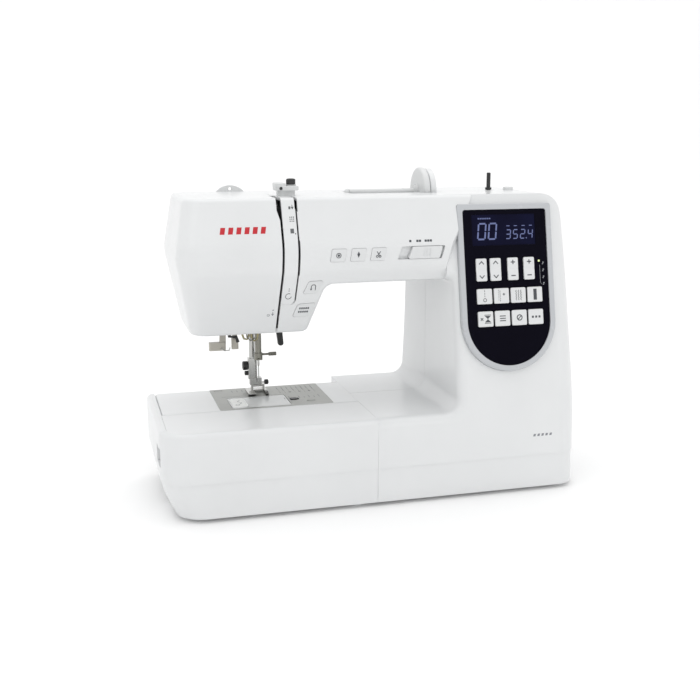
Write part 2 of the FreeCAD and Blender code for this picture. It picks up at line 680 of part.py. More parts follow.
def free_arm_volume(inset):
    i = inset
    body = slab(ARM_LEFT + i, TABLE_SPLIT + i, ARM_FRONT + i, ARM_BACK - i, ARM_BOTTOM,
                BED_Z - i, 5 - i)
    right = box(TABLE_SPLIT - 10, TABLE_SPLIT + SPLIT_GAP + i, ARM_FRONT + i, ARM_BACK - i,
                ARM_BOTTOM, BED_Z - i)
    body = join([body, right])
    return body


PLATE_X = (62.5, 173.0)
PLATE_Y = (70.2, 149.0)
PLATE_THICK = 2.0


def free_arm_cover():
    outer = free_arm_volume(0)
    outer = soften(outer, 2.0, lambda e: abs(e.CenterOfMass.z - BED_Z) < 0.01
                   and e.CenterOfMass.x < TABLE_SPLIT - 5)
    outer = outer.common(box(0, TABLE_SPLIT, 0, 200, 0, 100))
    shell = outer.cut(free_arm_volume(WALL))
    x0, x1 = PLATE_X
    y0, y1 = PLATE_Y
    window = slab(x0 - 0.15, x1 + 0.15, y0 - 0.15, y1 + 0.15, BED_Z - PLATE_THICK, 100, 2)
    through = box(x0 + 6, x1 - 6, y0 + 2, y1 - 2, BED_Z - 6, 100)
    return shell.cut(window).cut(through)


# ---------------------------------------------------------------- extension table

TABLE_BACK = 68.0
TABLE_OUTLINE = [(0, BED_Z, 0), (0, 45, 40), (1.8, 28, 34), (12.8, FOOT_GAP, 0),
                 (TABLE_SPLIT - SPLIT_GAP, FOOT_GAP, 0), (TABLE_SPLIT - SPLIT_GAP, BED_Z, 0)]
TABLE_PROFILE = [(0, FOOT_GAP, 0), (0, BED_Z, 0), (160, BED_Z, 0), (160, FOOT_GAP, 0)]
TABLE_CORNER_R = 24.0
TABLE_TOP_R = 4.5
LID_LEFT = 7.2
LID_CORNER = 17.0        # the lid also takes the left front corner back to this y


def table_volume(inset, step=0.0):
    """Table drawn inwards by inset; step moves only its left and front faces in."""
    seen = [(a + step if a < 20 else a, b, r) for a, b, r in TABLE_OUTLINE]
    cut = [(a + step if a < 1 else a, b, r) for a, b, r in TABLE_PROFILE]
    front = prism(seen, on_xz(0), BACK * ARM_BACK, inset)
    side = prism(cut, on_yz(-5), RIGHT * 300, inset)
    body = front.common(side).removeSplitter()
    body = soften(body, TABLE_CORNER_R - inset,
                  lambda e: e.CenterOfMass.x < 12 and e.CenterOfMass.y < 15 and upright(e))
    return soften(body, TABLE_TOP_R - inset, lambda e: flat_at(e, BED_Z - inset)
                  and (e.CenterOfMass.y < 10 or e.CenterOfMass.x < 12))


def table_shell():
    band = table_volume(0, BAND_STEP).common(box(-10, 400, -10, 200, 0, BELT_Z))
    rest = table_volume(0).common(box(-10, 400, -10, 200, BELT_Z, 200))
    shell = join([band, rest]).cut(table_volume(WALL))
    nook = box(ARM_LEFT - 0.5, 400, TABLE_BACK, 400, -10, 200)
    return shell.cut(nook).cut(box(-10, 400, ARM_BACK - 0.5, 400, 0, 200))


def lid_region(grow):
    """Space of the hinged lid: the top and front, with the left front corner."""
    low = BELT_Z + FINE_SEAM - grow
    top = box(LID_LEFT - grow, TABLE_SPLIT + 1, -10, TABLE_BACK - 2.4 + grow, low, 200)
    corner = box(-10, LID_LEFT + 1, -10, LID_CORNER + grow, low, 200)
    return join([top, corner])


def table_body(shell):
    """Lower band, left wall and inner walls of the table."""
    body = shell.cut(lid_region(FINE_SEAM))
    inside = table_volume(1.0)
    right = TABLE_SPLIT - SPLIT_GAP
    wall = box(LID_LEFT, right, TABLE_BACK - 2.0, TABLE_BACK, FOOT_GAP, BED_Z)
    end = box(right - WALL, right, WALL + SEAM, TABLE_BACK - 1, FOOT_GAP, BED_Z - WALL - SEAM)
    left = box(4.6, LID_LEFT - FINE_SEAM, 20, TABLE_BACK, FOOT_GAP + 20, BED_Z)
    rear = box(4.6, ARM_LEFT - 0.5, TABLE_BACK - 2.0, ARM_BACK - 0.5, FOOT_GAP + 20, BED_Z)
    ribs = join([wall, end, left, rear]).common(inside)
    top_edge = wall.common(table_volume(0))
    whole = join([body, ribs, top_edge] + table_feet())
    grip = slab(-5, 4.0, 18, 42, 50, 67, 0.5)
    return whole.cut(grip.common(box(-5, 3.2, 0, 60, 50, 67)))


def table_lid(shell):
    """Hinged lid; it has no wall at its right end, where the table's own wall stands."""
    return shell.common(lid_region(0)).cut(
        box(TABLE_SPLIT - SEAM - WALL, 400, WALL, 200, 0, BED_Z - WALL))


# ---------------------------------------------------------------- needle plate and hook

FEED_SLOTS = [(103.2, 105.2, 120, 136), (114.8, 116.8, 120, 136), (107.0, 108.6, 132.5, 140),
              (111.4, 113.0, 132.5, 140)]
COVER = (75.0, 132.0, 75.0, 112.5)
RELEASE = (134.8, 141.4, 91.0, 97.0)     # slide that releases the hook cover
RELEASE_TRAVEL = 1.8


def needle_plate():
    x0, x1 = PLATE_X
    y0, y1 = PLATE_Y
    plate = slab(x0, x1, y0, y1, BED_Z - PLATE_THICK, BED_Z, 2)
    cover = slab(COVER[0] - SEAM, COVER[1] + SEAM, COVER[2] - SEAM, COVER[3] + SEAM, 70, 90, 2)
    release = slab(RELEASE[0] - SEAM, RELEASE[1] + RELEASE_TRAVEL + SEAM, RELEASE[2] - SEAM,
                   RELEASE[3] + SEAM, 70, 90, 1.5)
    needle_slot = slab(NEEDLE_X - 4.6, NEEDLE_X + 4.6, NEEDLE_Y - 1.2, NEEDLE_Y + 1.2, 70, 90,
                       1.1)
    slots = [slab(a, b, c, d, 70, 90, 0.7) for a, b, c, d in FEED_SLOTS]
    marks = [box(NEEDLE_X + 15 + 5 * i, NEEDLE_X + 15.3 + 5 * i, 118 if i else 84, 146,
                 BED_Z - 0.2, 90) for i in range(1, 9)]
    heads = []
    pockets = []
    for x, y in ((70.5, 143.5), (153.5, 84.0)):
        pockets.append(rod(x, y, 70, 4.2, UP, 20))
        head = rod(x, y, BED_Z - PLATE_THICK, 4.0, UP, PLATE_THICK)
        heads.append(head.cut(box(x - 5, x + 5, y - 0.5, y + 0.5, BED_Z - 0.8, 90)))
    plate = drill(plate, [cover, release, needle_slot] + slots + pockets)
    plate = drill(plate, marks)
    return Part.makeCompound([plate] + heads)


def hook_cover():
    x0, x1, y0, y1 = COVER
    return slab(x0, x1, y0, y1, BED_Z - 1.8, BED_Z - 0.1, 1.5)


def cover_release():
    x0, x1, y0, y1 = RELEASE
    cap = slab(x0, x1, y0, y1, BED_Z - 1.8, BED_Z + 0.7, 1.5)
    stem = box(x0 + 2, x0 + 6, y0 + 1.5, y1 - 1.5, BED_Z - 6, BED_Z - 1)
    return join([cap, stem])


def cover_frame():
    """Ledge under the hook cover and its release slide, held by the needle plate."""
    x0, x1, y0, y1 = COVER
    ledge = box(x0 - 1.5, x1 + 16.5, y0 - 1.5, y1 + 1.5, BED_Z - 3.4, BED_Z - 2.0)
    opening = box(x0 + 4, x1 - 3, y0 + 4, y1 + 5, 70, 90)
    track = box(x1 + 2.4, x1 + 13, 84, 103, 70, 90)
    return ledge.cut(opening).cut(track)


def feed_dog():
    """Four toothed bars on one carrier under the plate."""
    bars = []
    for a, b, c, d in FEED_SLOTS:
        bars.append(box(a + 0.4, b - 0.4, c + 2.8, d - 2.6, 79.0, BED_Z - 1.2))
    carrier = box(103.2, 116.8, 121.5, 138.5, 77.9, 79.6).cut(
        slab(NEEDLE_X - 4.6, NEEDLE_X + 4.6, 125.2, 130.6, 70, 90, 1.0))
    return join([carrier] + bars)


def rotary_hook():
    z0, z1 = HOOK_Z
    cup = rod(HOOK_X, HOOK_Y, z0, HOOK_R, UP, z1 - z0)
    cup = cup.cut(rod(HOOK_X, HOOK_Y, z0 + 2, HOOK_R - 1.6, UP, 20))
    beak = prism([(HOOK_X + 6, HOOK_Y + 24, 0), (HOOK_X - 12, HOOK_Y + 20, 0),
                  (HOOK_X - 12, HOOK_Y + 12, 0), (HOOK_X + 2, HOOK_Y + 12, 0)], on_xy(z1 - 4),
                 UP * 2)
    ring = tube(HOOK_X, HOOK_Y, z1 - 4, HOOK_R + 1.2, HOOK_R - 1.6, UP, 2)
    stem = rod(HOOK_X, HOOK_Y, 50.5, 3.0, UP, z0 - 50.5 + 1)
    gear = rod(HOOK_X, HOOK_Y, 52, HOOK_GEAR_R, UP, 10)
    return join([cup, ring.common(beak.fuse(cup)), stem, gear])


def bobbin_holder():
    z0, z1 = HOOK_Z
    body = rod(HOOK_X, HOOK_Y, z0 + 2.4, HOOK_R - 2.2, UP, z1 - z0 - 2.0)
    body = body.cut(rod(HOOK_X, HOOK_Y, z0 + 3.6, 11.2, UP, 20))
    stop = box(HOOK_X - 3, HOOK_X + 3, HOOK_Y - HOOK_R + 2.5, HOOK_Y - 16, z1 - 1.4, z1 + 0.4)
    return join([body, stop.cut(rod(HOOK_X, HOOK_Y, z0, 11.2, UP, 20))])


def bobbin():
    z0 = HOOK_Z[0] + 4.0
    core = rod(HOOK_X, HOOK_Y, z0, 4.2, UP, 10.5)
    rims = [rod(HOOK_X, HOOK_Y, z0, 10.3, UP, 0.9), rod(HOOK_X, HOOK_Y, z0 + 9.6, 10.3, UP, 0.9)]
    thread = rod(HOOK_X, HOOK_Y, z0 + 0.9, 8.6, UP, 8.7)
    return join([core, thread] + rims).cut(rod(HOOK_X, HOOK_Y, z0 - 1, 3.0, UP, 20))


# ---------------------------------------------------------------- needle and presser

BAR_LENGTH = 113.0
BAR_END = 119.0
NEEDLE_TIP = 91.0


def needle_bar():
    bar = rod(NEEDLE_X, NEEDLE_Y, BAR_END, BAR_R, UP, BAR_LENGTH)
    clamp = rod(NEEDLE_X, NEEDLE_Y, 117.5, 4.2, UP, 7)
    guide = box(NEEDLE_X - 2.4, NEEDLE_X + 2.4, NEEDLE_Y - 6.2, NEEDLE_Y - 3.4, 118, 119.2)
    peg = rod(NEEDLE_X, NEEDLE_Y - BAR_R - 4, 214, 3.0, BACK, 5)
    body = join([bar, clamp, guide, peg, clamp_screw()])
    return body.cut(rod(NEEDLE_X, NEEDLE_Y, 110, NEEDLE_R + 0.25, UP, 13))


def needle():
    shank = rod(NEEDLE_X, NEEDLE_Y, 112, 1.05, UP, 10.9)
    blade = rod(NEEDLE_X, NEEDLE_Y, NEEDLE_TIP + 3, 0.55, UP, 18.5)
    cone = Part.makeCone(0.1, 0.55, 3, V(NEEDLE_X, NEEDLE_Y, NEEDLE_TIP))
    collar = Part.makeCone(0.55, 1.05, 1.5, V(NEEDLE_X, NEEDLE_Y, 110.7))
    eye = rod(NEEDLE_X, NEEDLE_Y - 2, NEEDLE_TIP + 5, 0.3, BACK, 4)
    return join([shank, blade, cone, collar]).cut(eye)


CLAMP_SCREW_Z = 122.6


def clamp_screw():
    """Needle clamp screw to the right of the needle, its head ribbed."""
    stem = rod(NEEDLE_X + 3.8, NEEDLE_Y, CLAMP_SCREW_Z, 1.1, RIGHT, 10)
    head = rod(NEEDLE_X + 10.5, NEEDLE_Y, CLAMP_SCREW_Z, 1.9, RIGHT, 7.5)
    notches = []
    for i in range(8):
        turn = 2 * math.pi * i / 8
        notches.append(rod(NEEDLE_X + 10, NEEDLE_Y + 2.1 * math.cos(turn),
                           CLAMP_SCREW_Z + 2.1 * math.sin(turn), 0.4, RIGHT, 9))
    return join([stem, drill(head, notches)])


def swing_frame():
    """Frame that carries the needle bar and swings it sideways for the zigzag."""
    plate = box(NEEDLE_X - 7, NEEDLE_X + 7, NEEDLE_Y + 4.2, NEEDLE_Y + 6.2, 168, 272)
    lugs = []
    for z in (170, 250):
        lugs.append(box(NEEDLE_X - 7, NEEDLE_X + 7, NEEDLE_Y - 5, NEEDLE_Y + 5, z, z + 8))
    frame = join([plate] + lugs)
    frame = frame.cut(rod(NEEDLE_X, NEEDLE_Y, 160, BAR_R + SHAFT_FIT, UP, 120))
    pivot = rod(NEEDLE_X, NEEDLE_Y + 6.2, 267, 3, BACK, 4)
    return join([frame, pivot])


TAKE_UP = (100.0, 240.0)     # y, z of the take-up lever's pin
TAKE_UP_X = FACE_SEAM - 0.6
TAKE_UP_T = 1.2


def take_up_lever():
    """Curved lever in the left thread slot; its eye shows in the top of the slot."""
    y, z = TAKE_UP
    hub = rod(TAKE_UP_X, y, z, 7, RIGHT, 5)
    arm = prism([(y, z + 4, 0), (y - 26, z + 30, 3), (y - 42, z + 36.5, 2),
                 (y - 50, z + 36.5, 1), (y - 50, z + 32.0, 1), (y - 34, z + 30.5, 3),
                 (y - 6, z - 4, 0)], on_yz(TAKE_UP_X), RIGHT * TAKE_UP_T)
    body = join([hub, arm]).cut(rod(TAKE_UP_X - 5, y, z, 3.0 + SHAFT_FIT, RIGHT, 30))
    return body.cut(rod(TAKE_UP_X - 5, y - 46.5, z + 34.2, 0.9, RIGHT, 10))


def take_up_pin():
    y, z = TAKE_UP
    return rod(TAKE_UP_X - 0.5, y, z, 3.0, RIGHT, 20)


FOOT_SCREW_Z = 109.4


def presser_bar():
    bar = rod(PRESSER_X, PRESSER_Y, 95, PRESSER_R, UP, 150)
    holder = box(PRESSER_X - 4.5, PRESSER_X + 4.5, PRESSER_Y - 3.5, PRESSER_Y + 4, 96, 117)
    holder = soften(holder, 1.0, upright)
    shoe = box(PRESSER_X - 3.5, NEEDLE_X + 4, PRESSER_Y - 5.6, PRESSER_Y + 2, 90.3, 97)
    screw = rod(PRESSER_X - 9.6, PRESSER_Y, FOOT_SCREW_Z, 4.2, RIGHT, 4.6)
    stem = rod(PRESSER_X - 5.5, PRESSER_Y, FOOT_SCREW_Z, 1.6, RIGHT, 3)
    collar = box(PRESSER_X - 6, PRESSER_X + 6, PRESSER_Y - 3.6, PRESSER_Y + 3.1, 206, 214)
    return join([bar, holder, shoe, screw, stem, collar])


def presser_foot():
    """Zigzag foot: two toes, needle slot, cross pin and release button."""
    fx = NEEDLE_X
    sole = slab(fx - 12.8, fx + 8.0, 114, 139, BED_Z, 86.0, 2)
    toe_gap = slab(fx - 5.0, fx + 5.0, 104, 129.8, 80, 100, 1.5)
    sole = sole.cut(toe_gap)
    tip_cut = prism([(113, BED_Z - 1, 0), (113, 85.8, 0), (119, BED_Z - 0.01, 0),
                     (119, BED_Z - 1, 0)], on_yz(fx - 20), RIGHT * 40)
    sole = sole.cut(tip_cut)
    posts = [box(x, x + 2, 133, 138, 85, 90.3) for x in (fx - 7, fx + 4.6)]
    cross = rod(fx - 7, 135, 89, 1.2, RIGHT, 13)
    return join([sole, cross] + posts)


LIFTER_X = 132.0
LIFTER_Z = 205.0
LIFTER_TIP = 125.0
LIFTER_Y = 152.6         # front face of the lever, just behind the rear casing


def presser_lifter():
    """Lever behind the head on the right that raises the presser bar."""
    x = LIFTER_X
    hub = rod(x, 147.5, LIFTER_Z, 5.8, BACK, LIFTER_Y + 4 - 147.5)
    arm = prism([(x - 5, LIFTER_Z + 5, 4), (x + 5, LIFTER_Z + 5, 4), (x + 7, 150, 9),
                 (x + 9.2, LIFTER_TIP, 2.4), (x + 3.6, LIFTER_TIP, 2.4), (x + 0.5, 150, 9)],
                on_xz(LIFTER_Y), BACK * 4)
    return join([hub, arm]).cut(rod(x, 140, LIFTER_Z, 3 + SHAFT_FIT, BACK, 13.5))


def threader_lever():
    """Grey paddle left of the needle: pulled down, its hook passes the needle eye."""
    paddle = slab(60.5, 77, 122, 128, 130, 138, 2)
    arm = prism([(71, 136, 0), (77, 136, 0), (78, 200, 0), (73, 200, 0)], on_xz(123), BACK * 4)
    return join([paddle, arm])


def buttonhole_lever():
    arm = box(84, 88.5, 124, 127, 130.6, 208)
    pad = slab(83, 89.5, 122, 129, 130.6, 141, 1.5)
    return join([arm, pad])


def thread_hook():
    """Wire thread guide in front of the needle bar, carried by the frame."""
    stem = box(97, 100, 118.5, 120.5, 146.5, 180)
    foot = box(97, 104, 118.5, 120.5, 146.5, 148.5)
    arm = box(97, 100, 118.5, 144, 177, 180)
    return [stem, foot, arm]


# ---------------------------------------------------------------- drive

def handwheel():
    wheel = rod(WHEEL_LEFT, SHAFT_Y, SHAFT_Z, WHEEL_R, RIGHT, WIDTH - WHEEL_LEFT)
    wheel = soften(wheel, 3.0, lambda e: e.CenterOfMass.x > WIDTH - 1)
    grooves = []
    for i in range(36):
        turn = 2 * math.pi * i / 36
        grooves.append(rod(WHEEL_LEFT - 1, SHAFT_Y + (WHEEL_R + 0.5) * math.cos(turn),
                           SHAFT_Z + (WHEEL_R + 0.5) * math.sin(turn), 1.1, RIGHT, 12))
    wheel = drill(wheel, grooves)
    dish = rod(WIDTH - 1.5, SHAFT_Y, SHAFT_Z, WHEEL_R - 8, RIGHT, 5)
    hub = rod(391, SHAFT_Y, SHAFT_Z, 12, RIGHT, WHEEL_LEFT - 391 + 1)
    return join([wheel.cut(dish), hub]).cut(rod(390, SHAFT_Y, SHAFT_Z, SHAFT_R, RIGHT, 22))


def upper_shaft():
    shaft = rod(122, SHAFT_Y, SHAFT_Z, SHAFT_R, RIGHT, 412 - 122)
    pulley = rod(346, SHAFT_Y, SHAFT_Z, 12, RIGHT, 10)
    wheel = rod(372, SHAFT_Y, SHAFT_Z, DRIVE_PULLEY_R, RIGHT, 8)
    weight = rod(122, SHAFT_Y, SHAFT_Z, 11.5, RIGHT, 7)
    return join([shaft, pulley, wheel, weight])


def lower_shaft():
    shaft = rod(100, LOWER_Y, LOWER_Z, LOWER_R, RIGHT, 362 - 100)
    gear = rod(HOOK_X - 5, LOWER_Y, LOWER_Z, SHAFT_GEAR_R, RIGHT, 10)
    pulley = rod(346, LOWER_Y, LOWER_Z, 12, RIGHT, 10)
    cam = rod(128, LOWER_Y - 1.5, LOWER_Z, 6.5, RIGHT, 6)
    return join([shaft, gear, pulley, cam])


def drive_belts():
    """Toothed belt from the upper to the lower shaft and the motor belt."""
    loops = []
    for x, y0, z0, r0, y1, z1, r1 in ((347.5, SHAFT_Y, SHAFT_Z, 12, LOWER_Y, LOWER_Z, 12),
                                      (373, SHAFT_Y, SHAFT_Z, DRIVE_PULLEY_R,
                                       MOTOR[0], MOTOR[1], MOTOR_PULLEY_R)):
        loops.append(belt_loop(x, y0, z0, r0 + 2.0, y1, z1, r1 + 2.0, 7).cut(
            belt_loop(x - 1, y0, z0, r0 + 0.4, y1, z1, r1 + 0.4, 9)))
    return Part.makeCompound(loops)


def motor():
    y, z = MOTOR
    can = soften(rod(310, y, z, 24, RIGHT, 52), 3, lambda e: True)
    boss = rod(360, y, z, 8, RIGHT, 3)
    return join([can, boss]).cut(rod(340, y, z, 3 + SHAFT_FIT, RIGHT, 40))


def motor_pulley():
    y, z = MOTOR
    return join([rod(342, y, z, 3, RIGHT, 42), rod(372, y, z, MOTOR_PULLEY_R, RIGHT, 9)])


def bearing_post(x, y, z, bore, wide, floor, thick=8.0):
    """Upright with a round eye, standing on floor."""
    eye = rod(x, y, z, wide, RIGHT, thick)
    leg = box(x, x + thick, y - wide, y + wide, floor, z)
    return join([eye, leg])


def main_frame():
    """Cast frame: bed beam, column, arm beam, bearings and guides."""
    bed = box(12, 340, ARM_FRONT + 3.4, ARM_BACK - 3.4, ARM_BOTTOM, 49)
    spine = box(292, 300, 80, 152, 49, 262)
    beam = box(140, 300, 142.5, 148.5, 214, 262)
    nose = box(98, 146, 142.5, 147.0, 176, 274)
    posts = [bearing_post(x, LOWER_Y, LOWER_Z, LOWER_R, 8, 49) for x in (150, 240, 330)]
    arms = [box(x, x + 6, SHAFT_Y - 9, 148, SHAFT_Z - 9, SHAFT_Z + 9) for x in (180, 262)]
    arms.append(box(364, 370, SHAFT_Y - 9, 152, SHAFT_Z - 9, SHAFT_Z + 9))
    outrigger = box(300, 370, 147.5, 152, SHAFT_Z - 9, SHAFT_Z + 9)
    ledges = [box(a, b, 76, 80, 49, BED_Z - PLATE_THICK - 1.4)
              for a, b in ((66, 72), (158, 164))]
    seat = tube(HOOK_X, HOOK_Y, 49, 6.5, 3.0, UP, 2.6)
    guides = [box(PRESSER_X - 7, PRESSER_X + 7, PRESSER_Y - 4.1, 143, z, z + 8)
              for z in (178, 222)]
    pivot = box(NEEDLE_X - 8, NEEDLE_X + 8, NEEDLE_Y + 6.6, 143, 260, 274)
    lifter_pin = rod(LIFTER_X, 146, LIFTER_Z, 3, BACK, 7)
    tip = box(133, 136, TAKE_UP[0] - 5, 143, 232, 248)
    whole = join([bed, spine, beam, nose, outrigger, pivot, seat, lifter_pin, tip,
                  take_up_pin()] + posts + arms + ledges + guides + thread_hook())
    bores = [
        rod(90, SHAFT_Y, SHAFT_Z, SHAFT_R + SHAFT_FIT, RIGHT, 330),
        rod(90, LOWER_Y, LOWER_Z, LOWER_R + SHAFT_FIT, RIGHT, 330),
        rod(PRESSER_X, PRESSER_Y, 170, PRESSER_R + SHAFT_FIT, UP, 80),
        rod(HOOK_X, HOOK_Y, 40, 3.0 + SHAFT_FIT, UP, 15),
        rod(NEEDLE_X, NEEDLE_Y, 267, 3.0 + SHAFT_FIT, BACK, 20),
    ]
    return drill(whole, bores)


# ---------------------------------------------------------------- power, feet

def power_inlet():
    """Moulded block with a two-pin inlet and the opening of the rocker switch."""
    y0, y1 = POWER_Y
    z0, z1 = POWER_Z
    g = 0.2
    block = prism(rect(y0 + g, y1 - g, z0 + g, z1 - g, 3), on_yz(383), RIGHT * 17)
    inlet = prism(rect(y0 + 5, y0 + 22, z0 + 8, z1 - 8, 4), on_yz(388), RIGHT * 20)
    island = prism(rect(y0 + 9, y0 + 18, z0 + 11, z1 - 11, 2), on_yz(388), RIGHT * 8)
    pins = [rod(388, y0 + 13.5, z, 1.2, RIGHT, 9) for z in (z0 + 12.5, z1 - 12.5)]
    window = prism(rect(y0 + 29, y0 + 45, z0 + 5, z1 - 5, 1), on_yz(388), RIGHT * 20)
    block = block.cut(inlet.cut(island)).cut(window)
    axle = rod(393, y0 + 29, (z0 + z1) / 2, 1.5, BACK, 16)
    return join([block] + pins + [axle])


def power_switch():
    y0 = POWER_Y[0]
    z = (POWER_Z[0] + POWER_Z[1]) / 2
    top = [(389.5, z - 6.0, 0), (399.2, z - 6.8, 0.5), (401.4, z, 6), (402.6, z + 6.8, 0.5),
           (389.5, z + 6.0, 0)]
    body = prism(top, on_xz(y0 + 29.6), BACK * 14.8)
    return body.cut(rod(393, y0, z, 1.5 + SHAFT_FIT, BACK, 60))


def rubber_feet():
    feet = []
    spots = [(30, 84), (30, 138), (190, 138), (215, 32), (215, 160), (385, 32), (385, 150)]
    for x, y in spots:
        feet.append(rod(x, y, 0, 7.5, UP, FOOT_GAP))
    return Part.makeCompound(feet)


def table_feet():
    """Round pads moulded on the underside of the table."""
    return [rod(x, y, 0, 6.0, UP, FOOT_GAP) for x, y in ((30, 22), (180, 14), (30, 58))]


# ---------------------------------------------------------------- write every node

HOUSING = housing_shell()
HOUSING = drill(HOUSING, casing_holes() + thread_slots())
FRONT, REAR, FACE = casings(HOUSING)
TABLE = table_shell()

save("front_casing", FRONT)
save("rear_casing", REAR)
save("face_cover", FACE)
save("top_cover", top_cover())
save("base_tray", base_tray())
save("free_arm_cover", free_arm_cover())
save("main_frame", main_frame())
save("table_body", table_body(TABLE))
save("table_lid", table_lid(TABLE))
save("panel_bezel", panel_bezel())
save("panel_face", panel_face())
save("lcd_display", lcd_display())
for key_name, left, right, low, high in key_frames():
    if key_name.startswith("rocker"):
        save(key_name, rocker_key(left, right, low, high))
    else:
        save(key_name, panel_key(left, right, low, high))
for key_name, key_points in ARM_KEYS.items():
    save(key_name, arm_key(key_points))
save("speed_knob", speed_knob())
save("spool_pin", spool_pin())
save("spool_disc", spool_disc())
save("winder_spindle", winder_spindle())
save("thread_guides", thread_guides())
save("carry_handle", carry_handle())
save("needle_plate", needle_plate(), cover_frame())
save("hook_cover", hook_cover())
save("cover_release", cover_release())
save("feed_dog", feed_dog())
save("rotary_hook", rotary_hook())
save("bobbin_holder", bobbin_holder())
save("bobbin", bobbin())
save("needle_bar", needle_bar())
save("needle", needle())
save("swing_frame", swing_frame())
save("take_up_lever", take_up_lever())
save("presser_bar", presser_bar())
save("presser_foot", presser_foot())
save("presser_lifter", presser_lifter())
save("threader_lever", threader_lever())
save("buttonhole_lever", buttonhole_lever())
save("handwheel", handwheel())
save("upper_shaft", upper_shaft())
save("lower_shaft", lower_shaft())
save("motor", motor())
save("motor_pulley", motor_pulley())
save("drive_belts", drive_belts())
save("power_inlet", power_inlet())
save("power_switch", power_switch())
save("rubber_feet", rubber_feet())
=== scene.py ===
import bpy
import bmesh
import json
import math
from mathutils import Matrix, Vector
from mathutils.bvhtree import BVHTree


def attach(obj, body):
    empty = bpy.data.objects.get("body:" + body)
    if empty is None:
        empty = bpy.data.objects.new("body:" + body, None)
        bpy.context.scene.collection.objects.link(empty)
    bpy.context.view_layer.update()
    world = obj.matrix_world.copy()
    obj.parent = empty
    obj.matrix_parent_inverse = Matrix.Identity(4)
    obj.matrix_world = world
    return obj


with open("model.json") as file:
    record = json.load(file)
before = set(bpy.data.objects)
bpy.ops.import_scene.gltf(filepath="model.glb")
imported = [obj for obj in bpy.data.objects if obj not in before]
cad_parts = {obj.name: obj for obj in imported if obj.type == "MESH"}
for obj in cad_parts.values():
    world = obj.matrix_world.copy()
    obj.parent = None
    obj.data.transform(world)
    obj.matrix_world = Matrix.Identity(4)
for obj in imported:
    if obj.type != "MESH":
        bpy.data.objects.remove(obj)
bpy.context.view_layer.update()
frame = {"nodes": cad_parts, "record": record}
NODES = frame["nodes"]
scene = bpy.context.scene
MM = 0.001
HALF_WIDTH = 0.208
HALF_DEPTH = 0.090


def station(x, y, z):
    """Millimetres from the left end, the front and the table, as a point of the frame."""
    return Vector((x * MM - HALF_WIDTH, y * MM - HALF_DEPTH, z * MM))


# ---------------------------------------------------------------- materials

PLASTIC_IOR = 1.49


class Material:
    """A Principled material whose colour, roughness and relief come from noise."""

    def __init__(self, name):
        self.material = bpy.data.materials.new(name)
        self.material.use_nodes = True
        self.tree = self.material.node_tree
        self.shader = self.tree.nodes["Principled BSDF"]
        self.coordinates = self.node("ShaderNodeTexCoord").outputs["Object"]

    def node(self, kind):
        return self.tree.nodes.new(kind)

    def link(self, source, target):
        self.tree.links.new(source, target)

    def stretch(self, scale):
        """Object coordinates scaled along each axis, for a direction of brushing."""
        mapping = self.node("ShaderNodeMapping")
        mapping.inputs["Scale"].default_value = scale
        self.link(self.coordinates, mapping.inputs["Vector"])
        return mapping.outputs["Vector"]

    def noise(self, scale, detail=3.0, rough=0.5, vector=None):
        noise = self.node("ShaderNodeTexNoise")
        noise.inputs["Scale"].default_value = scale
        noise.inputs["Detail"].default_value = detail
        noise.inputs["Roughness"].default_value = rough
        self.link(vector or self.coordinates, noise.inputs["Vector"])
        return noise.outputs["Fac"]

    def ramp(self, value, stops):
        """Colour that follows a value; stops lists (position, colour) from low to high."""
        ramp = self.node("ShaderNodeValToRGB")
        elements = ramp.color_ramp.elements
        elements[0].position, elements[0].color = stops[0][0], (*stops[0][1], 1)
        elements[1].position, elements[1].color = stops[-1][0], (*stops[-1][1], 1)
        for position, colour in stops[1:-1]:
            element = elements.new(position)
            element.color = (*colour, 1)
        self.link(value, ramp.inputs["Fac"])
        return ramp.outputs["Color"]

    def span(self, value, low, high):
        """A value from 0 to 1, mapped to run from low to high."""
        span = self.node("ShaderNodeMapRange")
        span.inputs["To Min"].default_value = low
        span.inputs["To Max"].default_value = high
        self.link(value, span.inputs["Value"])
        return span.outputs["Result"]

    def relief(self, value, strength, distance):
        bump = self.node("ShaderNodeBump")
        bump.inputs["Strength"].default_value = strength
        bump.inputs["Distance"].default_value = distance
        self.link(value, bump.inputs["Height"])
        self.link(bump.outputs["Normal"], self.shader.inputs["Normal"])

    def put(self, socket, value):
        """Give a shader input a number or a colour, or join it to another node's output."""
        if isinstance(value, bpy.types.NodeSocket):
            self.link(value, self.shader.inputs[socket])
        else:
            self.shader.inputs[socket].default_value = value


def shade(colour, factor):
    """A colour made lighter or darker."""
    return tuple(min(1.0, c * factor) for c in colour)


def plastic(name, colour, rough, grain=900.0, depth=0.03, drift=0.025, coat=0.0, gloss=0.5):
    """Moulded plastic: faint colour drift, fine spark-eroded grain, uneven polish."""
    m = Material(name)
    drifting = m.noise(9.0, 4.0, 0.55)
    m.put("Base Color", m.ramp(drifting, [(0.3, shade(colour, 1 - drift)), (0.5, colour),
                                          (0.72, shade(colour, 1 + drift))]))
    m.put("Roughness", m.span(m.noise(60.0, 4.0), rough - 0.04, rough + 0.05))
    m.relief(m.noise(grain, 2.0), depth, 0.0002)
    m.put("Coat Weight", coat)
    m.put("Coat Roughness", 0.12)
    m.put("Specular IOR Level", gloss)
    m.put("IOR", PLASTIC_IOR)
    return m.material


